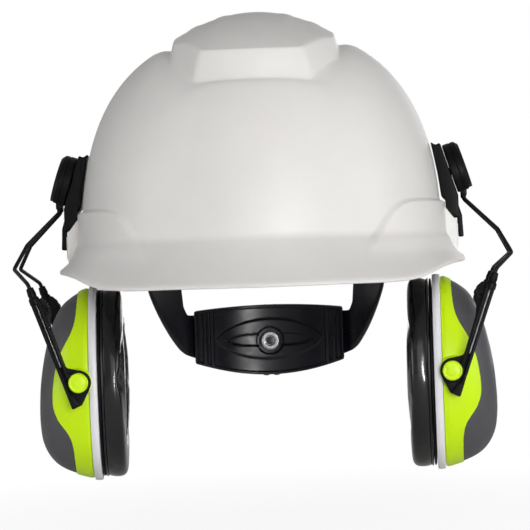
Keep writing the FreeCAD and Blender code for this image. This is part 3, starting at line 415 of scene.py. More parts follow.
class Shader:
    """Writes a node material. Values are passed on as (node, output) pairs."""

    def __init__(self, name):
        self.material = bpy.data.materials.new(name)
        self.material.use_nodes = True
        self.tree = self.material.node_tree
        self.tree.nodes.clear()
        self.output = self.node("OutputMaterial")
        self.surface = self.node("BsdfPrincipled")
        self.link((self.surface, "BSDF"), self.output, "Surface")
        self.place = (self.node("TexCoord"), "Object")
        self.bumps = None

    def node(self, kind, links=None, values=None, **settings):
        """Adds a shader node, with links from pairs and values for its inputs."""
        made = self.tree.nodes.new("ShaderNode" + kind)
        for name, value in settings.items():
            setattr(made, name, value)
        for entry, pair in (links or {}).items():
            self.link(pair, made, entry)
        for entry, value in (values or {}).items():
            made.inputs[entry].default_value = value
        return made

    def link(self, pair, target, entry):
        self.tree.links.new(pair[0].outputs[pair[1]], target.inputs[entry])

    def set(self, **values):
        for name, value in values.items():
            self.surface.inputs[name.replace("_", " ")].default_value = value

    def noise(self, scale, detail=4.0, stretch=(1, 1, 1), roughness=0.55):
        spread = self.node("Mapping", {"Vector": self.place}, {"Scale": stretch})
        values = {"Scale": scale, "Detail": detail, "Roughness": roughness}
        return self.node("TexNoise", {"Vector": (spread, "Vector")}, values), "Fac"

    def ramp(self, pair, low, high, start=0.35, end=0.65):
        """Maps a value to between two greys or two colours."""
        ramp = self.node("ValToRGB", {"Fac": pair})
        for element, place, value in zip(ramp.color_ramp.elements, (start, end), (low, high)):
            element.position = place
            element.color = (value, value, value, 1) if isinstance(value, float) else (*value, 1)
        return ramp, "Color"

    def tint(self, pair, factor, colour, amount):
        """Mixes a colour into another by a factor."""
        mix = self.node("Mix", data_type="RGBA")
        scale = self.node("Math", {0: factor}, {1: amount}, operation="MULTIPLY")
        self.link((scale, 0), mix, 0)
        self.link(pair, mix, 6)
        mix.inputs[7].default_value = (*colour, 1)
        return mix, 2

    def bump(self, pair, strength, distance):
        """Adds a bump on top of the earlier ones."""
        made = self.node("Bump", {"Height": pair}, {"Strength": strength, "Distance": distance})
        if self.bumps is not None:
            self.link(self.bumps, made, "Normal")
        self.bumps = (made, "Normal")

    def finish(self, colour, roughness=None):
        """Links the last colour, roughness and bump to the surface."""
        for pair, entry in ((colour, "Base Color"), (roughness, "Roughness"), (self.bumps, "Normal")):
            if pair is not None:
                self.link(pair, self.surface, entry)
        return self.material


def scaled(colour, factor):
    return tuple(min(1.0, c * factor) for c in colour)


def moulded(name, colour, rough, grain, grain_size=2600.0, wear=0.25, spread=0.06, gloss=0.5):
    """Moulded plastic: mould grain, a slightly uneven gloss, and edges rubbed paler."""
    make = Shader(name)
    base = make.ramp(make.noise(22.0, 3.0), scaled(colour, 1 - spread), scaled(colour, 1 + spread))
    edges = (make.node("NewGeometry"), "Pointiness")
    rubbed = make.ramp(edges, 0.0, 1.0, 0.53, 0.62)
    pale = tuple(0.75 * c + 0.25 * max(0.25, max(colour)) for c in colour)
    worn = make.tint(base, rubbed, pale, wear)
    gloss_map = make.ramp(make.noise(55.0, 5.0), max(0.05, rough - 0.07), min(1.0, rough + 0.09))
    make.bump(make.noise(grain_size, 2.0), grain, 0.00012)
    make.set(IOR=1.5, Specular_IOR_Level=gloss)
    return make.finish(worn, gloss_map)


def shell_plastic():
    """Satin warm white shell: faint mould waviness, handling marks and a little dust."""
    make = Shader("shell_plastic")
    white = (0.80, 0.785, 0.765)
    base = make.ramp(make.noise(14.0, 4.0), scaled(white, 0.965), scaled(white, 1.015))
    dust = make.ramp(make.noise(900.0, 6.0, roughness=0.7), 0.0, 1.0, 0.64, 0.78)
    dusty = make.tint(base, dust, (0.55, 0.53, 0.50), 0.10)
    scratch = make.ramp(make.noise(24.0, 3.0), 0.36, 0.44, 0.30, 0.70)
    make.bump(make.noise(30.0, 1.0), 0.06, 0.0010)
    make.bump(make.noise(1500.0, 2.0), 0.02, 0.0001)
    make.set(IOR=1.5, Specular_IOR_Level=0.4, Subsurface_Weight=0.06, Subsurface_Scale=0.004)
    return make.finish(dusty, scratch)


def cushion_skin():
    """Thin glossy black foil over foam: soft dents and fine stretch lines."""
    make = Shader("cushion_skin")
    black = (0.0045, 0.0042, 0.0055)
    base = make.ramp(make.noise(40.0, 3.0), scaled(black, 0.8), scaled(black, 1.6))
    gloss_map = make.ramp(make.noise(120.0, 4.0), 0.17, 0.26)
    make.bump(make.noise(70.0, 2.0), 0.10, 0.0010)
    make.bump(make.noise(700.0, 3.0), 0.10, 0.00015)
    make.set(IOR=1.5, Specular_IOR_Level=0.5, Coat_Weight=0.4, Coat_Roughness=0.12)
    return make.finish(base, gloss_map)


def coated_wire():
    """Black coated spring wire, worn to bright steel where it runs in the slider."""
    make = Shader("coated_wire")
    apart = make.node("SeparateXYZ", {"Vector": make.place})
    worn = {"From Min": WIRE_WEAR[0], "From Max": WIRE_WEAR[1]}
    bright = (make.node("MapRange", {"Value": (apart, "Z")}, worn), "Result")
    steel = make.ramp(make.noise(900.0, 4.0, (1, 1, 0.05)), (0.10, 0.10, 0.105), (0.24, 0.24, 0.25))
    mix = make.node("Mix", {0: bright, 7: steel}, {6: (*BLACK, 1)}, data_type="RGBA")
    make.link(bright, make.surface, "Metallic")
    gloss_map = make.ramp(make.noise(300.0, 4.0), 0.30, 0.46)
    make.bump(make.noise(1600.0, 2.0), 0.06, 0.0001)
    make.set(Specular_IOR_Level=0.25)
    return make.finish((mix, 2), gloss_map)


def metal(name, colour, rough):
    """Plated metal with fine drawn lines."""
    make = Shader(name)
    lines = make.noise(1200.0, 5.0, (1, 1, 0.08))
    base = make.ramp(lines, scaled(colour, 0.78), scaled(colour, 1.12))
    gloss_map = make.ramp(make.noise(200.0, 4.0), rough - 0.08, rough + 0.1)
    make.bump(lines, 0.05, 0.00008)
    make.set(Metallic=1.0)
    return make.finish(base, gloss_map)


def weave(name, colour, pitch, rough, fuzz):
    """Woven cloth or webbing: two crossing sets of ribs over the surface."""
    make = Shader(name)
    ribs = []
    for axis in "XY":
        spread = make.node("Mapping", {"Vector": make.place}, {"Rotation": (0.0, 0.0, math.pi / 4)})
        values = {"Scale": 1.0 / (pitch * MM) / 20.0 * math.pi, "Distortion": 0.4, "Detail": 1.0}
        settings = {"wave_type": "BANDS", "bands_direction": axis}
        ribs.append(make.node("TexWave", {"Vector": (spread, "Vector")}, values, **settings))
    links = {0: (ribs[0], "Fac"), 1: (ribs[1], "Fac")}
    woven = (make.node("Math", links, operation="MAXIMUM"), 0)
    base = make.ramp(woven, scaled(colour, 0.45), scaled(colour, 1.35), 0.2, 0.9)
    hairs = make.noise(3000.0, 4.0)
    make.bump(woven, 0.55, 0.0003)
    make.bump(hairs, fuzz, 0.0001)
    make.set(Roughness=rough, Sheen_Weight=0.25, Sheen_Roughness=0.5)
    return make.finish(base)


def foam(name, colour):
    """Open-cell foam."""
    make = Shader(name)
    cells = (make.node("TexVoronoi", {"Vector": make.place}, {"Scale": 900.0}), "Distance")
    base = make.ramp(cells, scaled(colour, 0.3), scaled(colour, 1.3), 0.05, 0.6)
    make.bump(cells, 0.8, 0.0006)
    make.set(Roughness=0.95)
    return make.finish(base)


FINISHES = {
    "shell": ("shell", shell_plastic()),
    "suspension": (
        "suspension",
        moulded("suspension_plastic", (0.0075, 0.0072, 0.0125), 0.34, 0.08, wear=0.05, gloss=0.45),
    ),
    "gear": ("gear_plastic", moulded("gear_plastic", (0.05, 0.05, 0.055), 0.35, 0.05, wear=0.1)),
    "arm": ("arm_plastic", moulded("arm_plastic", BLACK, 0.40, 0.08, wear=0.02, gloss=0.13)),
    "frame": (
        "cup_frame",
        moulded("frame_plastic", (0.66, 0.97, 0.003), 0.34, 0.04, wear=0.04, spread=0.03, gloss=0.35),
    ),
    "cover": ("cup_cover", moulded("cover_plastic", (0.078, 0.078, 0.087), 0.48, 0.30, grain_size=1500.0, wear=0.12)),
    "spacer": ("spacer", moulded("spacer_plastic", (0.90, 0.88, 0.92), 0.38, 0.06, wear=0.05)),
    "cushion": ("cushion_skin", cushion_skin()),
    "wire": ("arm_wire", coated_wire()),
    "steel": ("spring_steel", metal("spring_steel", (0.55, 0.55, 0.56), 0.28)),
    "plated": ("bright_metal", metal("plated_metal", (0.42, 0.42, 0.44), 0.32)),
    "blackened": ("rivet_metal", moulded("blackened_metal", (0.03, 0.03, 0.03), 0.3, 0.03, wear=0.3)),
    "webbing": ("webbing", weave("webbing_weave", (0.030, 0.030, 0.032), 1.1, 0.85, 0.3)),
    "brow": ("brow_foam", weave("brow_cloth", (0.028, 0.028, 0.030), 0.7, 0.9, 0.5)),
    "liner": ("liner_foam", foam("liner_foam", (0.05, 0.05, 0.055))),
}


# ---- soft pieces ----

CLOTH_FRAMES = 20


def inflate(solid, pinned, cap, slack, pressure=25.0):
    """Swells a closed skin with a short cloth simulation. No point moves further than the cap, in mm."""
    points, faces = solid
    scene = bpy.context.scene
    mesh = outward_mesh("swelling", solid)
    skin = add_object("swelling", mesh)
    held = skin.vertex_groups.new(name="held")
    held.add([int(i) for i in np.nonzero(pinned)[0]], 1.0, "REPLACE")
    cloth = skin.modifiers.new("swell", "CLOTH")
    settings = cloth.settings
    settings.quality = 6
    settings.mass = 0.3
    settings.tension_stiffness = settings.compression_stiffness = 15
    settings.shear_stiffness = 5
    settings.bending_stiffness = 0.3
    settings.shrink_min = -slack
    settings.use_pressure = True
    settings.uniform_pressure_force = pressure
    settings.vertex_group_mass = "held"
    settings.effector_weights.gravity = 0
    cloth.collision_settings.use_collision = False
    cloth.point_cache.frame_start, cloth.point_cache.frame_end = 1, CLOTH_FRAMES
    for step in range(1, CLOTH_FRAMES + 1):
        scene.frame_set(step)
    swollen = evaluated(skin)
    shift = np.array([v.co for v in swollen.to_mesh().vertices]) / MM - points
    swollen.to_mesh_clear()
    bpy.data.objects.remove(skin)
    bpy.data.meshes.remove(mesh)
    scene.frame_set(1)
    length = np.linalg.norm(shift, axis=1)[:, None]
    return points + shift * np.minimum(1.0, cap / np.maximum(length, 1e-9)), faces


# ---- helmet shell ----

SHELL_AROUND = 448  # points round each ring of the shell
HALF_WIDTH, HALF_LENGTH, DOME_HEIGHT = 107.5, 124.0, 139.0
PLAN_POWER, HEIGHT_POWER = 2.5, 2.74
SHELL_WALL = 2.6
CREASE = 13.0  # height at which the dome turns into the brim
CREASE_BEND = 3.4
LOW_RINGS = 40.0  # below this height the rings are level
RIM_HALF_WIDTH, RIM_HALF_LENGTH, RIM_FORWARD = 119.4, 141.5, 10.5
RIM_POWER = 2.25
RIM_TILT = math.radians(3.6)
VISOR_CORNER_RISE, VISOR_DIP, VISOR_LIP_RISE = 1.2, 4.4, 1.2
ROOF_WIDTH, ROOF_LENGTH, ROOF_NOSE, ROOF_SHOULDER, ROOF_BOW = 47.8, 95.6, 31.0, 56.0, 6.0
ROOF_TOP, ROOF_END_DROP, ROOF_SIDE_DROP, ROOF_SIDE_EASE = 149.0, 30.4, 17.9, 9.0
ROOF_REACH = 52.0  # where the roof's side drop is measured
ROOF_STEP = 2.8  # width of the step from dome to roof
ROOF_RIBS = (19.0, 35.5)  # distance from the middle of the low ribs along the roof
RIB_RISE, RIB_HALF_WIDTH, RIB_EDGE, RIB_END, RIB_FADE = 0.5, 4.4, 2.6, 74.0, 26.0
MOAT_DEPTH, MOAT_WIDTH = 2.6, 6.5
GROOVE_DEPTH, GROOVE_WIDTH = (1.1, 0.8), 2.2  # depth everywhere, and what is added at the front and back
ROOF_SHRINK = 0.8  # how much of the wall the roof's outline moves in on the inside
PAD_FRONT, PAD_SLANT, PAD_TOP, PAD_BACK, PAD_PROUD = 67.0, 0.667, 31.0, 64.0, 3.0


def dome_level(share, height):
    """Height at a share of the plan radius."""
    return height * (1 - np.clip(share, 0, 1) ** PLAN_POWER) ** (1 / HEIGHT_POWER)


def dome_share(level, height):
    """Share of the plan radius at a height."""
    return (1 - (level / height) ** HEIGHT_POWER) ** (1 / PLAN_POWER)


def roof_depth(x, y, shrink):
    """How far a plan point is inside the roof's outline: above 0 inside. The corners slope more gently."""
    ax, ay = np.abs(x), np.abs(y)
    end = ROOF_LENGTH - ROOF_BOW * np.clip(ax / ROOF_NOSE, 0, 1.4) ** 2
    slant = np.array([ROOF_LENGTH - ROOF_BOW - ROOF_SHOULDER, ROOF_WIDTH - ROOF_NOSE])
    slant = slant / np.linalg.norm(slant)
    corner = (ROOF_NOSE - ax) * slant[0] + (ROOF_LENGTH - ROOF_BOW - ay) * slant[1]
    sides = np.stack([ROOF_WIDTH - ax - shrink, end - ay - shrink, (corner - shrink) * 0.5])
    soft = 0.9
    return -soft * np.log(np.sum(np.exp(-sides / soft), axis=0))


def roof_reach(cosine, sine, shrink):
    """Plan distance from the middle to the roof's outline in each direction."""
    reach = np.full(len(cosine), 40.0)
    for _ in range(80):
        reach += roof_depth(reach * cosine, reach * sine, shrink) * 0.5
    return reach


def raise_roof(x, y, z, offset):
    """Sinks a shallow moat round the roof's outline and lifts the middle of the dome to the roof inside it."""
    share = np.clip(np.abs(y) / ROOF_LENGTH, 0, 1.04)
    crest = ROOF_TOP - offset - ROOF_END_DROP * share**2
    top = crest - (ROOF_SIDE_DROP - ROOF_SIDE_EASE * share**2) * (x / ROOF_REACH) ** 2
    if offset == 0:
        along = ease((RIB_END - np.abs(y)) / RIB_FADE)
        for rib in ROOF_RIBS:
            top = top + RIB_RISE * along * ease((RIB_HALF_WIDTH - np.abs(np.abs(x) - rib)) / RIB_EDGE)
    depth = roof_depth(x, y, offset * ROOF_SHRINK)
    # 1 at the roof's sides, 0 at its front and back
    beside = ease((np.abs(x) / np.maximum(np.hypot(x, y * 0.55), 1e-6) - 0.35) / 0.4)
    moat = MOAT_DEPTH * beside
    groove = GROOVE_DEPTH[0] + GROOVE_DEPTH[1] * (1 - beside)
    outside = np.minimum(depth + 1.5, 0.0)
    z = z - moat * bell(outside / MOAT_WIDTH) - groove * bell(outside / GROOVE_WIDTH)
    lift = ease(depth / ROOF_STEP + 0.5)
    return columns(x, y, z + lift * np.maximum(top - z, 0.0))


def add_pads(ring):
    """Stands the side pads out of a ring of the dome, with rounded top corners."""
    x, y, z = ring.T
    front = np.where(y < 0, np.abs(x) - PAD_FRONT - (z - CREASE) * PAD_SLANT, 40.0)
    inside = -4.0 * np.log(np.exp(-front / 4.0) + np.exp(-(PAD_TOP - z) / 4.0)) + 1.6
    inside = np.minimum(inside, (PAD_BACK - y) * 0.8)
    low = ease((z - CREASE + 12.0) / 12.0)
    out = PAD_PROUD * ease(inside / 2.2 + 0.5) * low * (np.abs(x) > 40)
    length = np.maximum(np.hypot(x, y), 1e-6)
    return columns(x + x / length * out, y + y / length * out, z)


def rim_edge(cosine, sine, offset):
    """The tilted edge of the brim: raised beside the visor, and dipping along the visor's front."""
    power = 2 / RIM_POWER
    x = (RIM_HALF_WIDTH - offset * 0.35) * signed_power(cosine, power)
    y = (RIM_HALF_LENGTH - offset * 0.35) * signed_power(sine, power)
    corners = VISOR_CORNER_RISE * bell((y + 58.0) / 22.0)
    visor = corners - VISOR_DIP * ease((-74.0 - y) / 36.0) + VISOR_LIP_RISE * ease((-116.0 - y) / 24.0)
    return columns(x, y - RIM_FORWARD, y * math.tan(RIM_TILT) + visor - offset * 0.75)


def shell_surface(offset, detail):
    """Rings of one shell surface from the apex down to the rim, moved inwards by an offset."""
    angles = ring_angles(SHELL_AROUND)
    cosine, sine = np.cos(angles), np.sin(angles)
    a, b, height = HALF_WIDTH - offset, HALF_LENGTH - offset, DOME_HEIGHT - offset
    radius = a * b / np.hypot(b * cosine, a * sine)

    table_share = np.sin(np.linspace(0, math.pi / 2, 400))
    table_level = dome_level(table_share, height)
    steps = np.hypot(np.diff(table_share) * (a + b) / 2, np.diff(table_level))
    table_along = np.concatenate([[0], np.cumsum(steps)])

    edge = roof_reach(cosine, sine, offset * ROOF_SHRINK) / radius
    half_step = (ROOF_STEP * 0.5 + 1.4) / radius
    low_share = np.full(SHELL_AROUND, dome_share(LOW_RINGS, height))
    spans = (
        (np.zeros(SHELL_AROUND), edge - half_step, 30),
        (edge - half_step, edge + half_step, 20),
        (edge + half_step, low_share, 30),
    )
    rings = []
    for start, end, count in spans:
        count = max(4, int(count * detail))
        along_a = np.interp(start, table_share, table_along)
        along_b = np.interp(end, table_share, table_along)
        for k in range(count):
            along = along_a + (along_b - along_a) * k / count
            share = np.interp(along, table_along, table_share)
            x, y = radius * share * cosine, radius * share * sine
            rings.append(raise_roof(x, y, dome_level(share, height), offset))
    crease = CREASE - offset * 0.4
    for level in np.linspace(LOW_RINGS, crease + CREASE_BEND, max(5, int(46 * detail))):
        share = dome_share(level, height)
        rings.append(columns(a * share * cosine, b * share * sine, level))
    above = rings[-1]
    share = dome_share(crease, height)
    corner = columns(a * share * cosine, b * share * sine, crease)
    rim = rim_edge(cosine, sine, offset)
    toward = unit(rim - corner)
    below = corner + toward * CREASE_BEND
    for t in np.arange(1, 8) / 7:
        rings.append(above * (1 - t) ** 2 + corner * 2 * t * (1 - t) + below * t * t)
    for t in np.arange(1, 13) / 12:
        sag = math.sin(math.pi * t) * 0.6
        rings.append(below + (rim - below) * t - columns(cosine, sine, 1.0) * sag)
    if offset == 0:
        rings = [add_pads(ring) for ring in rings]
    rings[0] = rings[0][:1]
    return rings


def helmet_shell():
    """The whole shell as one closed skin: outside, rounded lip, inside."""
    outer = shell_surface(0.0, 1.0)
    inner = shell_surface(SHELL_WALL, 0.45)
    a, b = outer[-1], inner[-1]
    out = unit(a - outer[-2])
    lip = [a + (b - a) * t + out * math.sin(math.pi * t) * 0.9 for t in np.arange(1, 8) / 8]
    return loft(outer + lip + inner[::-1])


def slot_pocket(side):
    """The pocket on the shell's side that holds the bracket's blade: cheeks, inner and outer wall, ribs."""
    cheek = [
        (106.0, 29.5, 0.6), (110.0, 28.5, 2.0), (115.6, 21.2, 2.5), (116.4, 17.0, 2.0), (116.4, 4.0, 1.2),
        (113.0, 2.2, 1.0), (106.0, 6.0, 0.5),
    ]
    inner = [(107.0, 21.4, 0.3), (110.8, 21.4, 0.3), (110.8, 3.0, 0.3), (107.0, 6.0, 0.3)]
    outer = [(114.7, 21.6, 0.6), (116.4, 21.6, 0.8), (116.4, 4.0, 0.8), (114.7, 3.0, 0.5)]
    rib = [(115.8, 20.0, 0.3), (117.1, 18.5, 0.4), (117.1, 6.0, 0.4), (115.8, 4.5, 0.3)]
    parts = [plate(cheek, *sorted((sign * 15.9, sign * 18.5)), 0.5) for sign in (-1, 1)]
    parts += [plate(inner, -16.5, 16.5, 0.3), plate(outer, -17.0, 17.0, 0.35)]
    parts += [plate(rib, y - 0.7, y + 0.7, 0.4) for y in (-12.5, 12.5)]
    return moved(moved(merge(*parts), XZ), side_matrix(side))


KEY_DEGREES = (42, 138, 222, 318)


def key_socket():
    """A socket inside the shell, along +X: two cheeks and an inner wall round a key's blade."""
    parts = [block((104.5, -13.4, 17.2), (106.3, 13.4, 30.8), 0.6)]
    for sign in (-1, 1):
        low, high = sorted((sign * 11.4, sign * 13.8))
        parts.append(block((105.0, low, 17.2), (108.6, high, 30.8), 0.6))
    return merge(*parts)


def build_helmet():
    piece("helmet_shell_skin", helmet_shell(), "helmet", "shell", ("helmet_shell",), sharp=60.0)
    for side in ("left", "right"):
        piece(f"{side}_slot_pocket", slot_pocket(side), "helmet", "shell")
    sockets = [moved(key_socket(), turn(degrees, "Z")) for degrees in KEY_DEGREES]
    piece("key_sockets", merge(*sockets), "helmet", "shell")


# ---- suspension ----

HEAD_WIDTH, HEAD_LENGTH = 77.0, 97.0  # half sizes of the headband's oval
BAND = 1.6  # thickness of the nape straps
NAPE_Y = JOINTS["left_rack_run"]["pos_m"][1] / MM
NAPE_Z = JOINTS["size_knob_turn"]["pos_m"][2] / MM
HOUSING_HALF = 47.0  # half the width of the nape housing
RIM_WALL = 1.15


def oval_line(start_y, count, extra=0.0):
    """Points round the front of the headband's oval between two ends at a y, with outward directions."""
    a, b = HEAD_WIDTH + extra, HEAD_LENGTH + extra
    start = math.asin(start_y / b)
    angles = np.linspace(start, -math.pi - start, count)
    points = columns(a * np.cos(angles), b * np.sin(angles), 0.0)
    return points, unit(columns(np.cos(angles) / a, np.sin(angles) / b, 0.0))


def round_nape(x, radius, level):
    """Points on the vertical cylinder that the nape housing follows."""
    return columns(x, NAPE_Y + np.sqrt(radius**2 - x * x), level)


def headband():
    """The headband: a thin strip with a bead along each edge and a shallow groove between."""
    section = [
        (0.0, -6.0, 0.5), (0.0, 22.0, 0.5), (2.1, 22.0, 0.6), (2.1, 19.8, 0.6), (1.5, 19.2, 0.5), (1.5, 10.4, 0.3),
        (0.9, 9.8, 0.3), (0.9, 6.2, 0.3), (1.5, 5.6, 0.3), (1.5, -3.2, 0.5), (2.1, -3.8, 0.6), (2.1, -6.0, 0.6),
    ]
    points, out = oval_line(46.8, 160)
    return ribbon(points, out, np.tile([0.0, 0.0, 1.0], (len(points), 1)), rounded(section, 3))


def nape_strap(sign):
    """One strap from the headband down to the nape housing, following the headband's oval."""
    front = [(36, 19), (36, -2, 6), (35, -15, 14), (60, -44.5, 20), (70.5, -56.5, 12), (79, -60, 8), (87.6, -60)]
    rear = [(69.4, 20.6), (69.8, -10, 20), (70.6, -26, 8), (73.4, -32.2, 3), (87.6, -32.8)]
    edges = [resample(rounded(line, 8, False), 72) for line in (front, rear)]
    shares = np.linspace(0, 1, 22)
    rings = []
    for a, b in zip(*edges):
        line = a + (b - a) * shares[:, None]
        edge = np.minimum(shares, 1 - shares) * np.linalg.norm(b - a)
        swell = BAND / 2 * arch(1 - np.clip(edge / 0.8, 0, 1))
        bead = 0.45 * ease((2.6 - edge) / 1.2)
        loops = []
        for direction in (1, -1):
            y, z = line[::direction].T
            lap = 2.35 * ease((56.0 - y) / 6.0) * ease((z + 9.0) / 3.0)
            depth = BAND / 2 + direction * swell[::direction] + lap
            if direction > 0:
                depth = depth + bead * (swell > 0)
            loops.append(columns(sign * ((HEAD_WIDTH + depth) * arch(y / (HEAD_LENGTH + depth))), y, z))
        rings.append(np.vstack(loops))
    return loft(rings, caps=True)


def brow_pad():
    """The brow pad, swollen by the cloth simulation: a padded strip inside the front of the headband."""
    points, out = oval_line(-59.0, 64, -0.2)
    section = rounded([(0.0, -6.2, 0.8), (0.0, 23.2, 0.8), (-2.2, 23.6, 1.0), (-3.0, 8.5, 9.0), (-2.2, -6.6, 1.0)], 4)
    section = resample(np.vstack([section, section[:1]]), 27)[:-1]
    rings = []
    for i, (centre, normal) in enumerate(zip(points, out)):
        share = i / (len(points) - 1)
        taper = min(1.0, math.sin(math.pi * share) * 7 + 0.25)
        rings.append(centre + np.outer(section[:, 0] * taper, normal) + np.outer(section[:, 1], [0, 0, 1.0]))
    flat = loft(rings, caps=True)
    against_band = np.hypot(flat[0][:, 0] / (HEAD_WIDTH - 1), flat[0][:, 1] / (HEAD_LENGTH - 1)) > 1
    return inflate(flat, against_band, 2.0, 0.02, 12.0)


def crown_strap(degrees, lift):
    """A webbing strap over the head, with stitched turn-backs where it meets its keys."""
    reach, height, low = 101.6, 104.6 + lift, 12.6
    start = math.asin(low / height)
    angles = np.linspace(start, math.pi - start, 120)
    middle = columns(reach * np.cos(angles), 0.0, height * np.sin(angles))
    out = unit(columns(np.cos(angles) / reach, 0.0, np.sin(angles) / height))
    width = np.tile([0.0, 1.0, 0.0], (len(angles), 1))
    section = [
        (-0.55, -9.9, 0.45), (0.55, -9.9, 0.45), (0.75, -8.6, 0.3), (0.75, 8.6, 0.3), (0.55, 9.9, 0.45),
        (-0.55, 9.9, 0.45),
    ]
    parts = [ribbon(middle, out, width, rounded(section, 3))]
    for rows in (slice(3, 12), slice(-12, -3)):
        for across in (-7.0, 7.0):
            for centre, normal in zip(middle[rows], out[rows]):
                spot = centre + normal * 0.8 + np.array([0.0, across, 0.0])
                parts.append(tube([spot - [0, 0, 0.8], spot, spot + [0, 0, 0.8]], 0.28, 6))
    return moved(merge(*parts), turn(degrees, "Z"))


def lens_edges(x, shrink=0.0):
    """Bottom and top of the nape housing at a distance from its middle."""
    t = 1 - (x / HOUSING_HALF) ** 2
    return NAPE_Z - 12.4 - 9.4 * t + shrink, NAPE_Z + 20.6 + 2.4 * t - shrink


def inner_relief(x, z, edge):
    """Relief of the housing's face towards the wearer: edge bead, ridges, a raised lens, two slots and a well."""
    up = z - NAPE_Z
    bead, raised, slot_depth, well_depth = 0.9, 1.0, 1.5, 1.3
    height = bead * ease((2.4 - edge) / 0.8)
    for ridge in (36.4, 40.6):
        height = np.maximum(height, bead * ease((1.5 - np.abs(np.abs(x) - ridge)) / 0.7))
    lens = 13.6 * arch(x / 34.0) ** 1.3 - np.abs(up - 1.2)
    height = np.maximum(height, raised * ease(lens / 1.8))
    slot = 4.6 * arch((np.abs(x) - 8.0) / 19.0) - np.abs(up - 0.6)
    slot = ease(np.where(np.abs(x) > 7.0, slot, -1.0) / 1.5)
    height = height - slot_depth * slot
    well = 9.2 - np.hypot(x, up)
    return height - well_depth * ease(well / 1.1) * (1 - 0.6 * slot)


def outer_relief(x, z, edge):
    """Relief of the housing's back: a rim, and ribs that fan out at both ends."""
    height = 0.7 * ease((2.6 - edge) / 0.8)
    for rib in (30.0, 34.0, 38.0, 42.0):
        height = np.maximum(height, 0.7 * ease((1.2 - np.abs(np.abs(x) - rib)) / 0.6) * ease((edge - 3.6) / 0.8))
    return height


def housing_half(face, back, relief, toward):
    """One half of the housing: a relief face at a radius of the nape curve, and a rim to the parting line."""
    rings = []
    for x in np.linspace(-HOUSING_HALF, HOUSING_HALF, 270):
        low, high = lens_edges(x)
        end_round = 1.2 * (1 - arch(max(0.0, 1 - (HOUSING_HALF - abs(x)) / 1.2)))
        z = np.linspace(low + end_round, high - end_round, 92)
        edge = np.minimum(np.minimum(z - low, high - z), HOUSING_HALF - abs(x))
        soft = 0.9 * (1 - arch(1 - np.clip(edge / 0.9, 0, 1)))
        front = face + toward * (relief(np.full(len(z), x), z, edge) - soft)
        rings.append(np.vstack([round_nape(x, front, z), round_nape(x, back, z[::-1])]))
    return loft(rings, caps=True)


def housing_walls(near, far):
    """The rims along the housing's top and bottom, between two radii of the nape curve."""
    walls = []
    for top in (False, True):
        rings = []
        for x in np.linspace(-HOUSING_HALF + 0.3, HOUSING_HALF - 0.3, 90):
            low, high = lens_edges(x, 0.15)
            inner, outer = (high - RIM_WALL, high) if top else (low, low + RIM_WALL)
            radii, levels = np.array([near, far, far, near]), np.array([inner, inner, outer, outer])
            rings.append(round_nape(x, radii, levels))
        walls.append(loft(rings, caps=True))
    return walls


def size_knob():
    """The size knob: a fluted grip with a dished back."""
    back = 12.0
    profile = [
        (1.75, 0.2), (21.8, 0.2, 0.6), (23.2, 1.4, 0.8), (23.2, back - 1.6, 1.2), (21.4, back, 1.0), (16.4, back, 0.6),
        (15.0, back - 1.9, 0.8), (5.2, back - 1.9, 0.3), (5.0, back - 2.3, 0.2), (1.75, back - 2.3),
    ]
    angles = ring_angles(288)
    flute = 0.5 - 0.5 * np.cos(angles * 18)
    rings = []
    for radius, height in rounded(profile, 4):
        grip = ease((radius - 19.5) / 2.5) * (1 - 0.75 * ease((height - 10.2) / 1.6))
        radii = radius - 1.5 * grip * flute**2.2
        rings.append(columns(radii * np.cos(angles), radii * np.sin(angles), height))
    grips = []
    for i in range(36):
        place = Matrix.Rotation(i * TAU / 36, 4, "Z") @ Matrix.Translation((18.9, 0, 0))
        grips.append(moved(block((-1.9, -0.35, back - 0.3), (1.9, 0.35, back + 0.35), 0.3), place))
    return merge(loft(rings, join=True), *grips)


def knob_rivet():
    """The tubular rivet: its flare towards the head, its shank and its peened end."""
    profile = [
        (0, 0.75), (2.9, 0.75, 0.2), (3.3, 0.0, 0.5), (5.4, 0.0, 0.8), (6.3, 0.7, 0.4), (6.2, 1.1, 0.2), (1.5, 1.1),
        (1.5, 22.7), (4.0, 22.7, 0.3), (3.8, 23.6, 0.6), (1.4, 23.8, 0.4), (1.1, 23.2, 0.2), (0, 23.2),
    ]
    return lathe(profile, 64, 4)


def build_suspension():
    piece("headband_strip", headband(), "helmet", "suspension", ("headband",), sharp=50)
    for side, sign in (("left", 1), ("right", -1)):
        piece(f"{side}_nape_web", nape_strap(sign), "helmet", "suspension", (f"{side}_nape_strap",), sharp=50)
    piece("brow_pad_cover", quilt(brow_pad()), "helmet", "brow", ("brow_pad",), sharp=80, subdivide=1)
    for side, degrees, lift in (("left", -KEY_DEGREES[0], 0.0), ("right", KEY_DEGREES[0], 2.6)):
        strap = crown_strap(degrees, lift)
        piece(f"crown_webbing_{side}", strap, "helmet", "webbing", (f"crown_strap_{side}_front",))
    inner = merge(housing_half(58.9, 60.4, inner_relief, -1.0), *housing_walls(60.2, 63.2))
    outer = merge(housing_half(68.3, 66.6, outer_relief, 1.0), *housing_walls(63.35, 66.8))
    for where, half in (("inner", inner), ("outer", outer)):
        piece(f"nape_cover_{where}", half, "helmet", "suspension", (f"nape_housing_{where}",), sharp=40)
    knob_place = Matrix.Translation((0, NAPE_Y + 69.6, NAPE_Z)) @ turn(-90, "X")
    piece("size_knob_grip", size_knob(), "size_knob", "suspension", ("size_knob",), knob_place)
    rivet_place = Matrix.Translation((0, NAPE_Y + 57.0, NAPE_Z)) @ turn(-90, "X")
    piece("knob_rivet_tube", knob_rivet(), "helmet", "plated", ("knob_rivet",), rivet_place)
    # A black disc in the rivet's shallow middle recess: painted shade standing in for the dark depth of the tubular
    # rivet's hole.
    hole_shade = lathe([(0, 0.5), (2.6, 0.5, 0.2), (2.6, 1.0), (0, 1.0)], 40, 2)
    piece("knob_rivet_hole_shade", hole_shade, "helmet", "blackened", (), rivet_place)


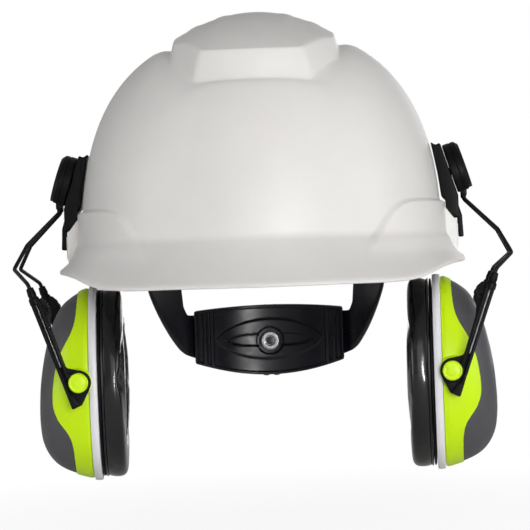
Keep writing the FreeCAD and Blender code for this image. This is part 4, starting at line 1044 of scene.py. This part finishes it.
def quilt(solid):
    """Presses the brow pad's sewn channels into its face, after it has swollen."""
    points, faces = solid
    angle = np.arctan2(points[:, 0] / HEAD_WIDTH, -points[:, 1] / HEAD_LENGTH)
    depth = (1 - (points[:, 0] / HEAD_WIDTH) ** 2 - (points[:, 1] / HEAD_LENGTH) ** 2) * 45
    channel = bell((((angle / 0.30 + 0.5) % 1.0) - 0.5) / 0.10)
    press = 1.1 * channel * np.clip(depth / 3.0, 0, 1)
    points[:, :2] += unit(points[:, :2]) * press[:, None]
    return points, faces


# ---- ear cup ----

CUP_AROUND = 192
CUP_Z = -69.2
CUP_POWER = 2.12
# Outwards, drop below the cup's middle, half height, half width.
CUP_OVALS = (
    (105.4, 0.0, 56.9, 44.6),
    (109.0, 0.0, 56.3, 44.2),
    (116.7, 1.0, 52.9, 41.8),
    (123.0, 2.7, 48.2, 38.2),
    (128.6, 6.4, 40.2, 32.8),
    (132.8, 11.0, 30.0, 25.5),
    (135.6, 15.4, 18.6, 16.4),
    (136.8, 18.2, 7.0, 6.4),
    (137.0, 19.0, 0.5, 0.5),
)
CUP_WALL = 2.3
SPLIT_GAP = 0.0035  # half the gap between frame and cover, as a share of the way to the apex
SPLIT_LIP = SPLIT_GAP * 0.9
FRAME_EDGE = (
    (111.6, -4.0),
    (111.9, -20.0),
    (113.0, -31.0),
    (115.8, -39.0),
    (120.8, -48.0),
    (125.4, -61.0),
    (127.3, -78.0),
    (124.9, -88.0),
    (118.4, -97.8),
    (116.2, -106.0),
    (115.8, -118.0),
    (115.8, -134.0),
)


class Cup:
    """The cup's smooth outer surface and the line that parts its frame from its cover."""

    def __init__(self):
        self.rows = catmull(CUP_OVALS, 24)
        angles = ring_angles(CUP_AROUND)
        self.up, self.across = (signed_power(way(angles), 2 / CUP_POWER) for way in (np.cos, np.sin))
        edge = catmull([(z, x) for x, z in FRAME_EDGE], 12)[::-1]
        self.edge_z, self.edge_x = edge.T
        self.split = self.find_split()

    def point(self, share):
        """Surface points, one for each angle, each at its own share of the way to the apex."""
        index = np.clip(share, 0, 1) * (len(self.rows) - 1)
        x, drop, half_height, half_width = (np.interp(index, np.arange(len(self.rows)), row) for row in self.rows.T)
        return columns(x, half_width * self.across, CUP_Z - drop + half_height * self.up)

    def normal(self, share):
        """Outward normals at the same points."""
        step = 0.004
        low, high = np.clip(share - step, 0, 1), np.clip(share + step, 0, 1)
        along = self.point(high) - self.point(low)
        here = self.point(share)
        round_it = np.roll(here, -1, 0) - np.roll(here, 1, 0)
        normal = np.cross(along, round_it)
        normal /= np.linalg.norm(normal, axis=1)[:, None] + 1e-12
        out = here - np.array([105.0, 0, CUP_Z - 8])
        flip = np.sign(np.sum(normal * out, axis=1))
        return normal * flip[:, None]

    def sunk(self, share, depth):
        """Surface points moved inwards along their normals."""
        return self.point(share) - self.normal(share) * depth

    def find_split(self):
        """For each angle, the share at which the surface crosses the line between frame and cover."""
        split = np.full(CUP_AROUND, 0.5)
        found = np.zeros(CUP_AROUND, bool)
        for share in np.linspace(0, 0.98, 500):
            points = self.point(np.full(CUP_AROUND, share))
            past = points[:, 0] > np.interp(points[:, 2], self.edge_z, self.edge_x)
            split = np.where(past & ~found, share, split)
            found |= past
        return split

    def rings(self, start, end, count, sink=0.0, start_sink=0.0):
        """Rings between two shares, sunk inwards, with extra sinking at the start."""
        made = []
        for k in range(count + 1):
            t = k / count
            made.append(self.sunk(start + (end - start) * t, sink + start_sink * (1 - t) ** 8))
        return made


def stud_place(sign, out):
    """Turns Z outwards along the tilt axis, at a distance from the cup's middle."""
    return Matrix.Translation((BUTTON.x, sign * out, BUTTON.z)) @ turn(-sign * 90, "X")


def cup_frame(cup):
    """The bright frame: from the spacer ring to the parting line, standing a little proud of the cover."""
    zero = np.zeros(CUP_AROUND)
    split = cup.split - SPLIT_GAP
    rings = cup.rings(zero + 0.004, split, 30, -0.15, 0.5)
    for k in range(1, 7):
        angle = k / 6 * math.pi / 2
        rings.append(cup.sunk(split + SPLIT_LIP * math.sin(angle), -0.15 + 0.7 * (1 - math.cos(angle))))
    rings += [cup.sunk(split + SPLIT_LIP, depth) for depth in (1.2, CUP_WALL)]
    rings += cup.rings(split, zero + 0.004, 10, CUP_WALL)
    rings += [cup.sunk(zero, depth * np.array([0, 1, 1])) for depth in (CUP_WALL, 0.5)]
    return merge(loft(rings, join=True), pivot_boss(-1), pivot_boss(1))


def pivot_boss(sign):
    """The boss that a pivot stud turns in."""
    profile = [(0, -7.0), (9.5, -7.0), (8.2, -2.6, 2.4), (6.9, 0.0, 0.7), (4.4, 0.0, 0.3), (4.4, -0.8), (0, -0.8)]
    return moved(lathe(profile), stud_place(sign, 47.2))


def cup_cover(cup):
    """The dark outer cover, from the parting line to the crown of the cup."""
    zero = np.zeros(CUP_AROUND)
    start = cup.split + SPLIT_GAP
    settle = 0.45
    rings = [ring - np.array([2.0, 0, 0]) for ring in cup.rings(zero + 0.96, start, 12, CUP_WALL - 1.2)]
    rings[0] = rings[0].mean(0)[None, :]
    rings += [cup.sunk(start - SPLIT_LIP, depth) for depth in (CUP_WALL, 1.6)]
    for k in range(6):
        angle = (1 - k / 6) * math.pi / 2
        rings.append(cup.sunk(start - SPLIT_LIP * math.sin(angle), settle + 0.7 * (1 - math.cos(angle))))
    for t in np.arange(45) / 44:
        rings.append(cup.sunk(start + (1.0 - start) * t, settle * (1 - ease(t * 3.0))))
    rings[-1] = rings[-1].mean(0)[None, :]
    return loft(rings)


def oval(half_height, half_width, x, count=CUP_AROUND):
    """Points round a cup oval at one distance out."""
    up, across = (signed_power(way(ring_angles(count)), 2 / CUP_POWER) for way in (np.cos, np.sin))
    return columns(x, half_width * across, CUP_Z + half_height * up)


def oval_band(section, outer, inner, count=CUP_AROUND):
    """A ring swept round the cup. The section is (x, share) with 0 on the outer oval and 1 on the inner."""
    rings = []
    for x, share in section:
        half_height, half_width = (a + (b - a) * share for a, b in zip(outer, inner))
        rings.append(oval(half_height, half_width, x, count))
    return loft(rings, join=True)


def spacer_ring():
    """The light ring between cup and cushion, with a fine groove round it."""
    section = rounded([(100.25, 0.0, 0.9), (105.3, 0.0, 1.1), (105.3, 1.0, 0.4), (100.25, 1.0, 0.4)], 6)
    section[:, 1] = np.clip(section[:, 1], 0, 1)
    bead = rounded([(102.2, -0.012, 0.2), (103.0, -0.012, 0.2), (103.0, 0.03), (102.2, 0.03)], 3)
    return merge(*(oval_band(part, (58.2, 46.0), (40.0, 29.0)) for part in (section, bead)))


def ear_cushion():
    """The cushion: a swollen ring of skin over foam, creased towards its hole and gathered at its weld."""
    outer, inner = (57.0, 44.8), (33.5, 22.5)
    face, back, width = 85.2, 97.9, outer[0] - inner[0]
    loop = rounded([(face, 1.4, 5.0), (back, 1.3, 1.2), (back, width - 1.3, 1.2), (face, width - 1.4, 5.5)], 6)
    loop = resample(np.vstack([loop, loop[:1]]), 29)[:-1]
    flat = oval_band([(x, across / width) for x, across in loop], outer, inner, 112)
    points, faces = inflate(flat, flat[0][:, 0] > 97.0, 1.9, 0.022)
    points[:, 0] = np.maximum(points[:, 0], 84.25)
    spoke = points[:, 1:] - np.array([0.0, CUP_Z])
    reach = np.hypot(spoke[:, 0] / outer[1], spoke[:, 1] / outer[0])
    angles = np.arctan2(spoke[:, 0], spoke[:, 1])
    spoke = unit(spoke)
    wander = np.array([noise.noise(Vector((math.cos(a) * 4, math.sin(a) * 4, 3.0))) for a in angles])
    crease = np.sin(angles * 38 + 7 * wander) * (0.6 + wander)
    near_hole = bell((reach - 0.62) / 0.10)
    near_weld = bell((points[:, 0] - 95.6) / 1.6) * (reach > 0.8)
    points[:, 0] += 0.30 * crease * near_hole * (points[:, 0] < 93)
    points[:, 1:] += spoke * ((0.22 * crease + 0.5 * wander) * near_weld - 0.55 * near_weld)[:, None]
    return points, faces


def cushion_seam():
    """The welded edge of the cushion's skin, where it meets its plate."""
    section = rounded([(97.0, 0.02, 0.35), (98.1, 0.02, 0.35), (98.1, 0.12), (97.0, 0.12)], 3)
    return oval_band(section, (56.6, 44.4), (33.5, 22.5))


def cushion_plate():
    """The flat ring that the cushion's skin is welded to."""
    section = rounded([(98.25, 0.0, 0.5), (100.15, 0.0, 0.5), (100.15, 1.0, 0.3), (98.25, 1.0, 0.3)], 3)
    return oval_band(section, (55.8, 43.6), (33.0, 23.0))


def foam_liner():
    """The foam pad in the cup, with its rounded, slightly sunken face."""
    middle = [(101.0, 0.5), (101.0, 0.85), (101.6, 0.96), (103.0, 1.0), (110.0, 1.0), (110.8, 0.9)]
    rings = [oval(36.8 * scale, 25.8 * scale, x) for x, scale in middle]
    poles = [np.array([[x, 0.0, CUP_Z]]) for x in (101.2, 110.8)]
    return loft([poles[0], *rings, poles[1]])


def pivot_button(sign):
    """A stud: stem, neck, and a domed head with a moulded ring."""
    profile = [
        (0, -8.6), (2.9, -8.6), (3.0, 0.1), (4.0, 0.1), (4.0, 3.4), (5.75, 3.4, 0.3), (5.75, 5.0, 0.7),
        (4.9, 5.55, 0.4), (4.2, 5.35, 0.3), (2.0, 5.75, 1.0), (0, 5.8),
    ]
    return moved(lathe(profile), stud_place(sign, 47.3))


def build_cups():
    cup = Cup()
    rows = (
        ("frame_shell", cup_frame(cup), "frame", "cup_frame", 45),
        ("cover_shell", cup_cover(cup), "cover", "cup_cover", 45),
        ("spacer_band", spacer_ring(), "spacer", "spacer_ring", 60),
        ("cushion_pad", ear_cushion(), "cushion", "ear_cushion", 80),
        ("cushion_weld", cushion_seam(), "cushion", None, 60),
        ("plate_ring", cushion_plate(), "arm", "cushion_plate", 32),
        ("liner_pad", foam_liner(), "liner", "foam_liner", 60),
        ("button_pair", merge(pivot_button(-1), pivot_button(1)), "frame", "pivot_buttons", 32),
    )
    for side in ("left", "right"):
        for name, solid, finish, node, sharp in rows:
            stands_for = (f"{side}_{node}",) if node else ()
            finer = 1 if name == "cushion_pad" else 0
            piece(f"{side}_{name}", solid, f"{side}_cup", finish, stands_for, side_matrix(side), sharp, finer)


# ---- arms ----


def arm_wire(sign):
    """One spring wire, from the flip block out round the brim and down into its slider."""
    points = [
        (FLIP.x, sign * 5.5, FLIP.z - 2.2),
        (FLIP.x, sign * 5.5, FLIP.z - 8.6),
        (140.5, sign * 14.0, 14.5),
        (148.0, sign * 23.0, 0.5),
        tuple(SLIDER_FRAME @ Vector((0, sign * WIRE_LINE, 9.5))),
        tuple(SLIDER_FRAME @ Vector((0, sign * WIRE_LINE, -42.0))),
    ]
    return tube(fillet_path(points, 3.2), WIRE_RADIUS, 24)


def slot_bracket():
    """The fixed bracket: a rounded body, the blade in the slot, and the release tab."""
    body = [
        (111.2, 22.5, 0.8), (118.0, 22.5, 1.2), (118.0, 35.4, 2.0), (108.6, 65.6, 0.8), (107.7, 66.8, 0.5),
        (105.6, 65.7, 2.0), (102.5, 67.5, 0.4), (103.3, 64.0, 2.0), (105.9, 50.0, 8.0), (107.8, 35.5, 3.0),
        (111.2, 32.0, 1.0),
    ]
    blade = [(111.4, 1.6), (114.0, 1.6), (114.0, 24.0), (111.4, 24.0)]
    tab = [
        (116.8, 29.0, 0.5), (116.9, 17.0, 8.0), (117.3, 10.9, 0.8), (120.5, 10.9, 1.1), (120.1, 17.5, 8.0),
        (119.9, 23.5, 2.0), (118.1, 29.5, 0.3),
    ]
    rail = [
        (110.6, 24.5, 0.4), (117.7, 24.5, 0.6), (117.7, 35.0, 1.5), (108.3, 64.8, 0.6), (106.5, 64.6, 1.0),
        (107.2, 48.0, 6.0), (110.0, 34.0, 3.0),
    ]
    parts = [plate(body, -15.5, 15.5, 1.1, corner=6, bevel=4), plate(blade, -15.0, 15.0, 0.4)]
    parts.append(plate(tab, -8.0, 8.0, 0.7))
    for z in (13.4, 15.2, 17.0):
        grip = [(119.2, z, 0.2), (120.3, z, 0.3), (120.2, z + 0.8, 0.3), (119.2, z + 0.8, 0.2)]
        parts.append(plate(grip, -6.2, 6.2, 0.3, corner=2))
    parts += [plate(rail, y - 0.35, y + 2.15, 0.35, corner=4) for y in (-15.4, 13.6)]
    return moved(merge(*parts), XZ)


HUB_RADIUS = 16.4


def hub():
    """The swinging hub: two discs with a parting line, a rounded rim, and a raised ring round its rivet."""
    r = HUB_RADIUS
    profile = [
        (2.7, -9.3), (r - 0.6, -9.3, 0.4), (r, -8.7, 0.4), (r, -5.2, 0.2), (r - 0.4, -5.0, 0.1), (r - 0.4, -4.8, 0.1),
        (r, -4.6, 0.2), (r - 0.1, -2.2, 1.6), (r - 2.4, 0.0, 1.6), (11.0, 0.15, 0.4), (10.5, -0.55, 0.3),
        (6.6, -0.55, 0.3), (6.2, 0.1, 0.3), (5.25, 0.1, 0.3), (5.15, -1.75), (2.7, -1.75),
    ]
    return moved(washer(profile, 120, 4), turn(90, "Y"))


def cut_hub(name, side):
    """The hub with the notch that its flip block turns in."""
    place = side_matrix(side) @ HUB_FRAME
    made = piece(name, hub(), f"{side}_hub", "arm", (f"{side}_hub_base", f"{side}_hub_cover"), place)
    for low, high in (((-20, -9.6, -30), (-1.3, 9.6, -4.7)), ((-21, -9.58, -31), (6, 9.58, -12.5))):
        cutter = add_object("notch", outward_mesh("notch", moved(block(low, high), place)))
        boolean = made.modifiers.new("notch", "BOOLEAN")
        boolean.operation = "DIFFERENCE"
        boolean.solver = "EXACT"
        boolean.object = cutter
        result = bpy.data.meshes.new_from_object(evaluated(made))
        made.modifiers.remove(boolean)
        made.data = result
        bpy.data.objects.remove(cutter)
    shade(made.data, 30)


def hub_rivet():
    """The rivet that the hub swings on, with a ringed head."""
    profile = [
        (0, -12.0), (2.5, -12.0), (2.5, -1.7), (5.0, -1.7, 0.2), (5.0, -0.7, 0.5), (3.8, -0.15, 0.6), (1.8, -0.15, 0.3),
        (1.4, -0.7, 0.3), (0, -0.75),
    ]
    return moved(lathe(profile), turn(90, "Y"))


def flip_block():
    """The barrel on the flip pin with the lug that grips both wires."""
    x, z = FLIP.x, FLIP.z
    barrel = [(1.56, -9.2), (3.1, -9.2, 0.3), (3.5, -8.8, 0.4), (3.5, 8.8, 0.4), (3.1, 9.2, 0.3), (1.56, 9.2)]
    collar = washer([(1.22, -8.2), (1.6, -8.2, 0.2), (1.7, -6.4, 0.2), (1.22, -6.4)], 32, 3)
    parts = [moved(washer(barrel, 48, 3), Matrix.Translation((x, 0, z)) @ turn(90, "X"))]
    parts.append(block((x - 1.75, -7.9, z - 6.9), (x + 2.1, 7.9, z - 1.8), 0.7))
    parts += [moved(collar, Matrix.Translation((x, sign * 5.5, z))) for sign in (-1, 1)]
    return merge(*parts)


def slider(sign):
    """The slide: a back web, two lips that leave the wire bare between them, a neck, and the stud's ring."""
    to_stud = SLIDER_FRAME.inverted() @ BUTTON
    bx, bz = to_stud.x, to_stud.z
    stud_hole = circle(4.1, 40, bx, bz)
    web = [
        (2.7, -0.5, 1.2), (2.6, bz - 13.4, 1.0), (-3.4, bz - 12.8, 1.0), (bx - 4.4, bz - 6.0, 2.0),
        (bx - 7.2, bz - 0.5, 4.0), (bx - 5.0, bz + 5.4, 4.0), (-2.8, bz + 10.5, 3.0), (-3.2, -20.0, 3.0),
        (-4.4, -15.0, 2.0), (-6.3, -12.0, 2.2), (-6.3, -4.5, 2.2), (-4.0, -0.5, 1.4),
    ]
    parts = [plate(web, 47.7, 49.25, 0.4, [stud_hole])]
    parts.append(plate(circle(7.25, 64, bx, bz), 47.7, 50.5, 0.5, [stud_hole]))
    top, low_left, low_right = -0.3, bz + 4.5, bz - 6.0
    for inner, low, high in ((1.35, 48.9, 51.95), (0.85, 51.8, 53.1)):
        left = [(-inner, top, 0.3), (-2.75, top, 0.6), (-2.5, bz + 12.0, 0.8), (-2.7, low_left, 0.6)]
        left.append((-inner, low_left, 0.3))
        right = [(inner, top, 0.3), (inner, low_right, 0.3), (2.5, low_right, 0.5), (2.75, top, 0.6)]
        parts += [plate(lip, low, high, 0.35, corner=3) for lip in (left, right)]
    foot = [(-3.2, bz - 12.6, 0.8), (2.6, bz - 13.2, 0.8), (2.6, bz - 4.5, 0.6), (-0.6, bz - 5.5, 0.6)]
    parts.append(plate(foot, 48.9, 52.6, 0.5, corner=4))
    bridge = [(-2.0, -3.4, 0.3), (2.0, -3.4, 0.3), (2.0, -0.8, 0.3), (-2.0, -0.8, 0.3)]
    parts.append(plate(bridge, 51.85, 53.0, 0.3, corner=2))
    parts.append(plate(circle(2.9, 40, -4.0, -8.0), 48.9, 51.4, 0.5, [circle(1.0, 24, -4.0, -8.0)]))
    points, faces = merge(*parts)
    standing = columns(points[:, 0], sign * points[:, 2], points[:, 1])
    neck = [
        (1.25, -3.0), (3.2, -3.0, 0.6), (3.1, 0.5, 1.0), (2.3, 1.6, 0.6), (2.6, 3.0, 0.6), (2.1, 7.0, 0.5), (1.25, 7.2),
    ]
    return merge((standing, faces), moved(washer(neck, 40, 4), Matrix.Translation((0, sign * WIRE_LINE, 0))))


def build_arms():
    for side in ("left", "right"):
        place = side_matrix(side)
        piece(f"{side}_bracket_body", slot_bracket(), "helmet", "arm", (f"{side}_slot_bracket",), place)
        cut_hub(f"{side}_hub_disc", side)
        piece(f"{side}_rivet_head", hub_rivet(), "helmet", "blackened", (f"{side}_hub_rivet",), place @ HUB_FRAME)
        piece(f"{side}_flip_barrel", flip_block(), f"{side}_arm", "arm", (f"{side}_flip_block",), place)
        front = -1 if side == "left" else 1
        for where, sign in (("front", front), ("rear", -front)):
            wire, slide = f"{side}_{where}_wire", f"{side}_{where}_slider"
            piece(f"{side}_{where}_rod", arm_wire(sign), f"{side}_arm", "wire", (wire,), place)
            piece(f"{side}_{where}_slide", slider(sign), f"{side}_slide", "arm", (slide,), place @ SLIDER_FRAME)


# ---- carried-over CAD nodes ----


def finish_cad():
    """Gives every CAD node that still shows its own finish."""
    slots = {row["node"]: row["material_slot"] for row in frame["record"]["subparts"]}
    by_slot = dict(FINISHES.values())
    for name, node in frame["nodes"].items():
        if not node.hide_render:
            node.data.materials.clear()
            node.data.materials.append(by_slot[slots[name]])


# ---- stage ----


def area_light(name, place, width, height, power, target=(0, 0, 0), shine=True, glow=True):
    """A softbox. It can be left out of reflections, or be seen only in them."""
    light = bpy.data.lights.new(name, "AREA")
    light.shape = "RECTANGLE"
    light.size, light.size_y = width, height
    light.energy = power
    made = add_object(name, light)
    made.visible_glossy, made.visible_diffuse = shine, glow
    made.location = place
    made.rotation_euler = (Vector(target) - Vector(place)).to_track_quat("-Z", "Y").to_euler()


CAMERA_DISTANCE = 1.4
CAMERA_YAW, CAMERA_ROLL = 1.5, -2.0  # degrees
FLOOR_DROP = 0.028  # metres below the object at rest, so the cups stay above the floor when run down


def floor_material():
    """Pale floor paint that fades to plain white away from the object."""
    make = Shader("floor_paint")
    tone = make.ramp(make.noise(3.0, 2.0), (0.86, 0.86, 0.86), (0.89, 0.89, 0.89))
    make.set(Roughness=0.85)
    make.finish(tone)
    length = (make.node("VectorMath", {0: make.place}, operation="LENGTH"), "Value")
    fade = {"From Min": 0.16, "From Max": 0.42, "To Min": 0.90}
    far = (make.node("MapRange", {"Value": length}, fade, interpolation_type="SMOOTHSTEP"), "Result")
    seen = (make.node("LightPath"), "Is Camera Ray")
    both = (make.node("Math", {0: far, 1: seen}, operation="MULTIPLY"), 0)
    white = (make.node("Emission"), "Emission")
    mix = make.node("MixShader", {0: both, 1: (make.surface, "BSDF"), 2: white})
    make.link((mix, "Shader"), make.output, "Surface")
    return make.material


def build_stage():
    """Pale floor, soft white surroundings, softboxes and the camera."""
    scene = bpy.context.scene
    level = CAD_BOX[0][2] - FLOOR_DROP
    mesh = bpy.data.meshes.new("floor")
    mesh.from_pydata([(x, y, level) for x, y in ((-9, -9), (9, -9), (9, 9), (-9, 9))], [], [(0, 1, 2, 3)])
    floor = add_object("floor", mesh)
    mesh.materials.append(floor_material())

    # The surroundings are plain white to the camera, and dimmer as a light.
    world = bpy.data.worlds.new("surroundings")
    scene.world = world
    world.use_nodes = True
    tree = world.node_tree
    background = tree.nodes["Background"]
    background.inputs["Color"].default_value = (1, 1, 1, 1)
    seen = tree.nodes.new("ShaderNodeLightPath")
    strength = tree.nodes.new("ShaderNodeMapRange")
    strength.inputs["To Min"].default_value = 0.28
    strength.inputs["To Max"].default_value = 1.0
    tree.links.new(seen.outputs["Is Camera Ray"], strength.inputs["Value"])
    tree.links.new(strength.outputs["Result"], background.inputs["Strength"])

    # name, place, width, height, power in watts
    area_light("key", (0.5, -2.0, 0.1), 1.0, 1.2, 29.5, shine=False)
    area_light("key_shine", (0.3, -2.0, 0.2), 1.2, 1.4, 5, glow=False)
    area_light("strip_shine", (0.62, -1.45, -0.2), 0.09, 0.55, 21, (0, 0, -0.07), glow=False)
    area_light("left_fill", (-1.7, -0.5, 0.1), 0.9, 1.2, 7)
    area_light("right_fill", (1.7, -0.5, 0.15), 0.9, 1.2, 8)
    area_light("back", (0.3, 2.0, 0.1), 1.4, 1.2, 8)

    camera_data = bpy.data.cameras.new("camera")
    camera_data.lens, camera_data.sensor_width, camera_data.clip_start = 158.5, 36.0, 0.05
    camera = add_object("camera", camera_data)
    yaw = turn(CAMERA_YAW, "Z").to_3x3()
    camera.location = yaw @ Vector((0.0009, -CAMERA_DISTANCE, -0.002))
    camera.rotation_euler = (yaw @ turn(90, "X").to_3x3() @ turn(CAMERA_ROLL, "Z").to_3x3()).to_euler()
    scene.camera = camera
    scene.view_settings.view_transform = "Standard"


build_helmet()
build_suspension()
build_cups()
build_arms()
finish_cad()
build_stage()
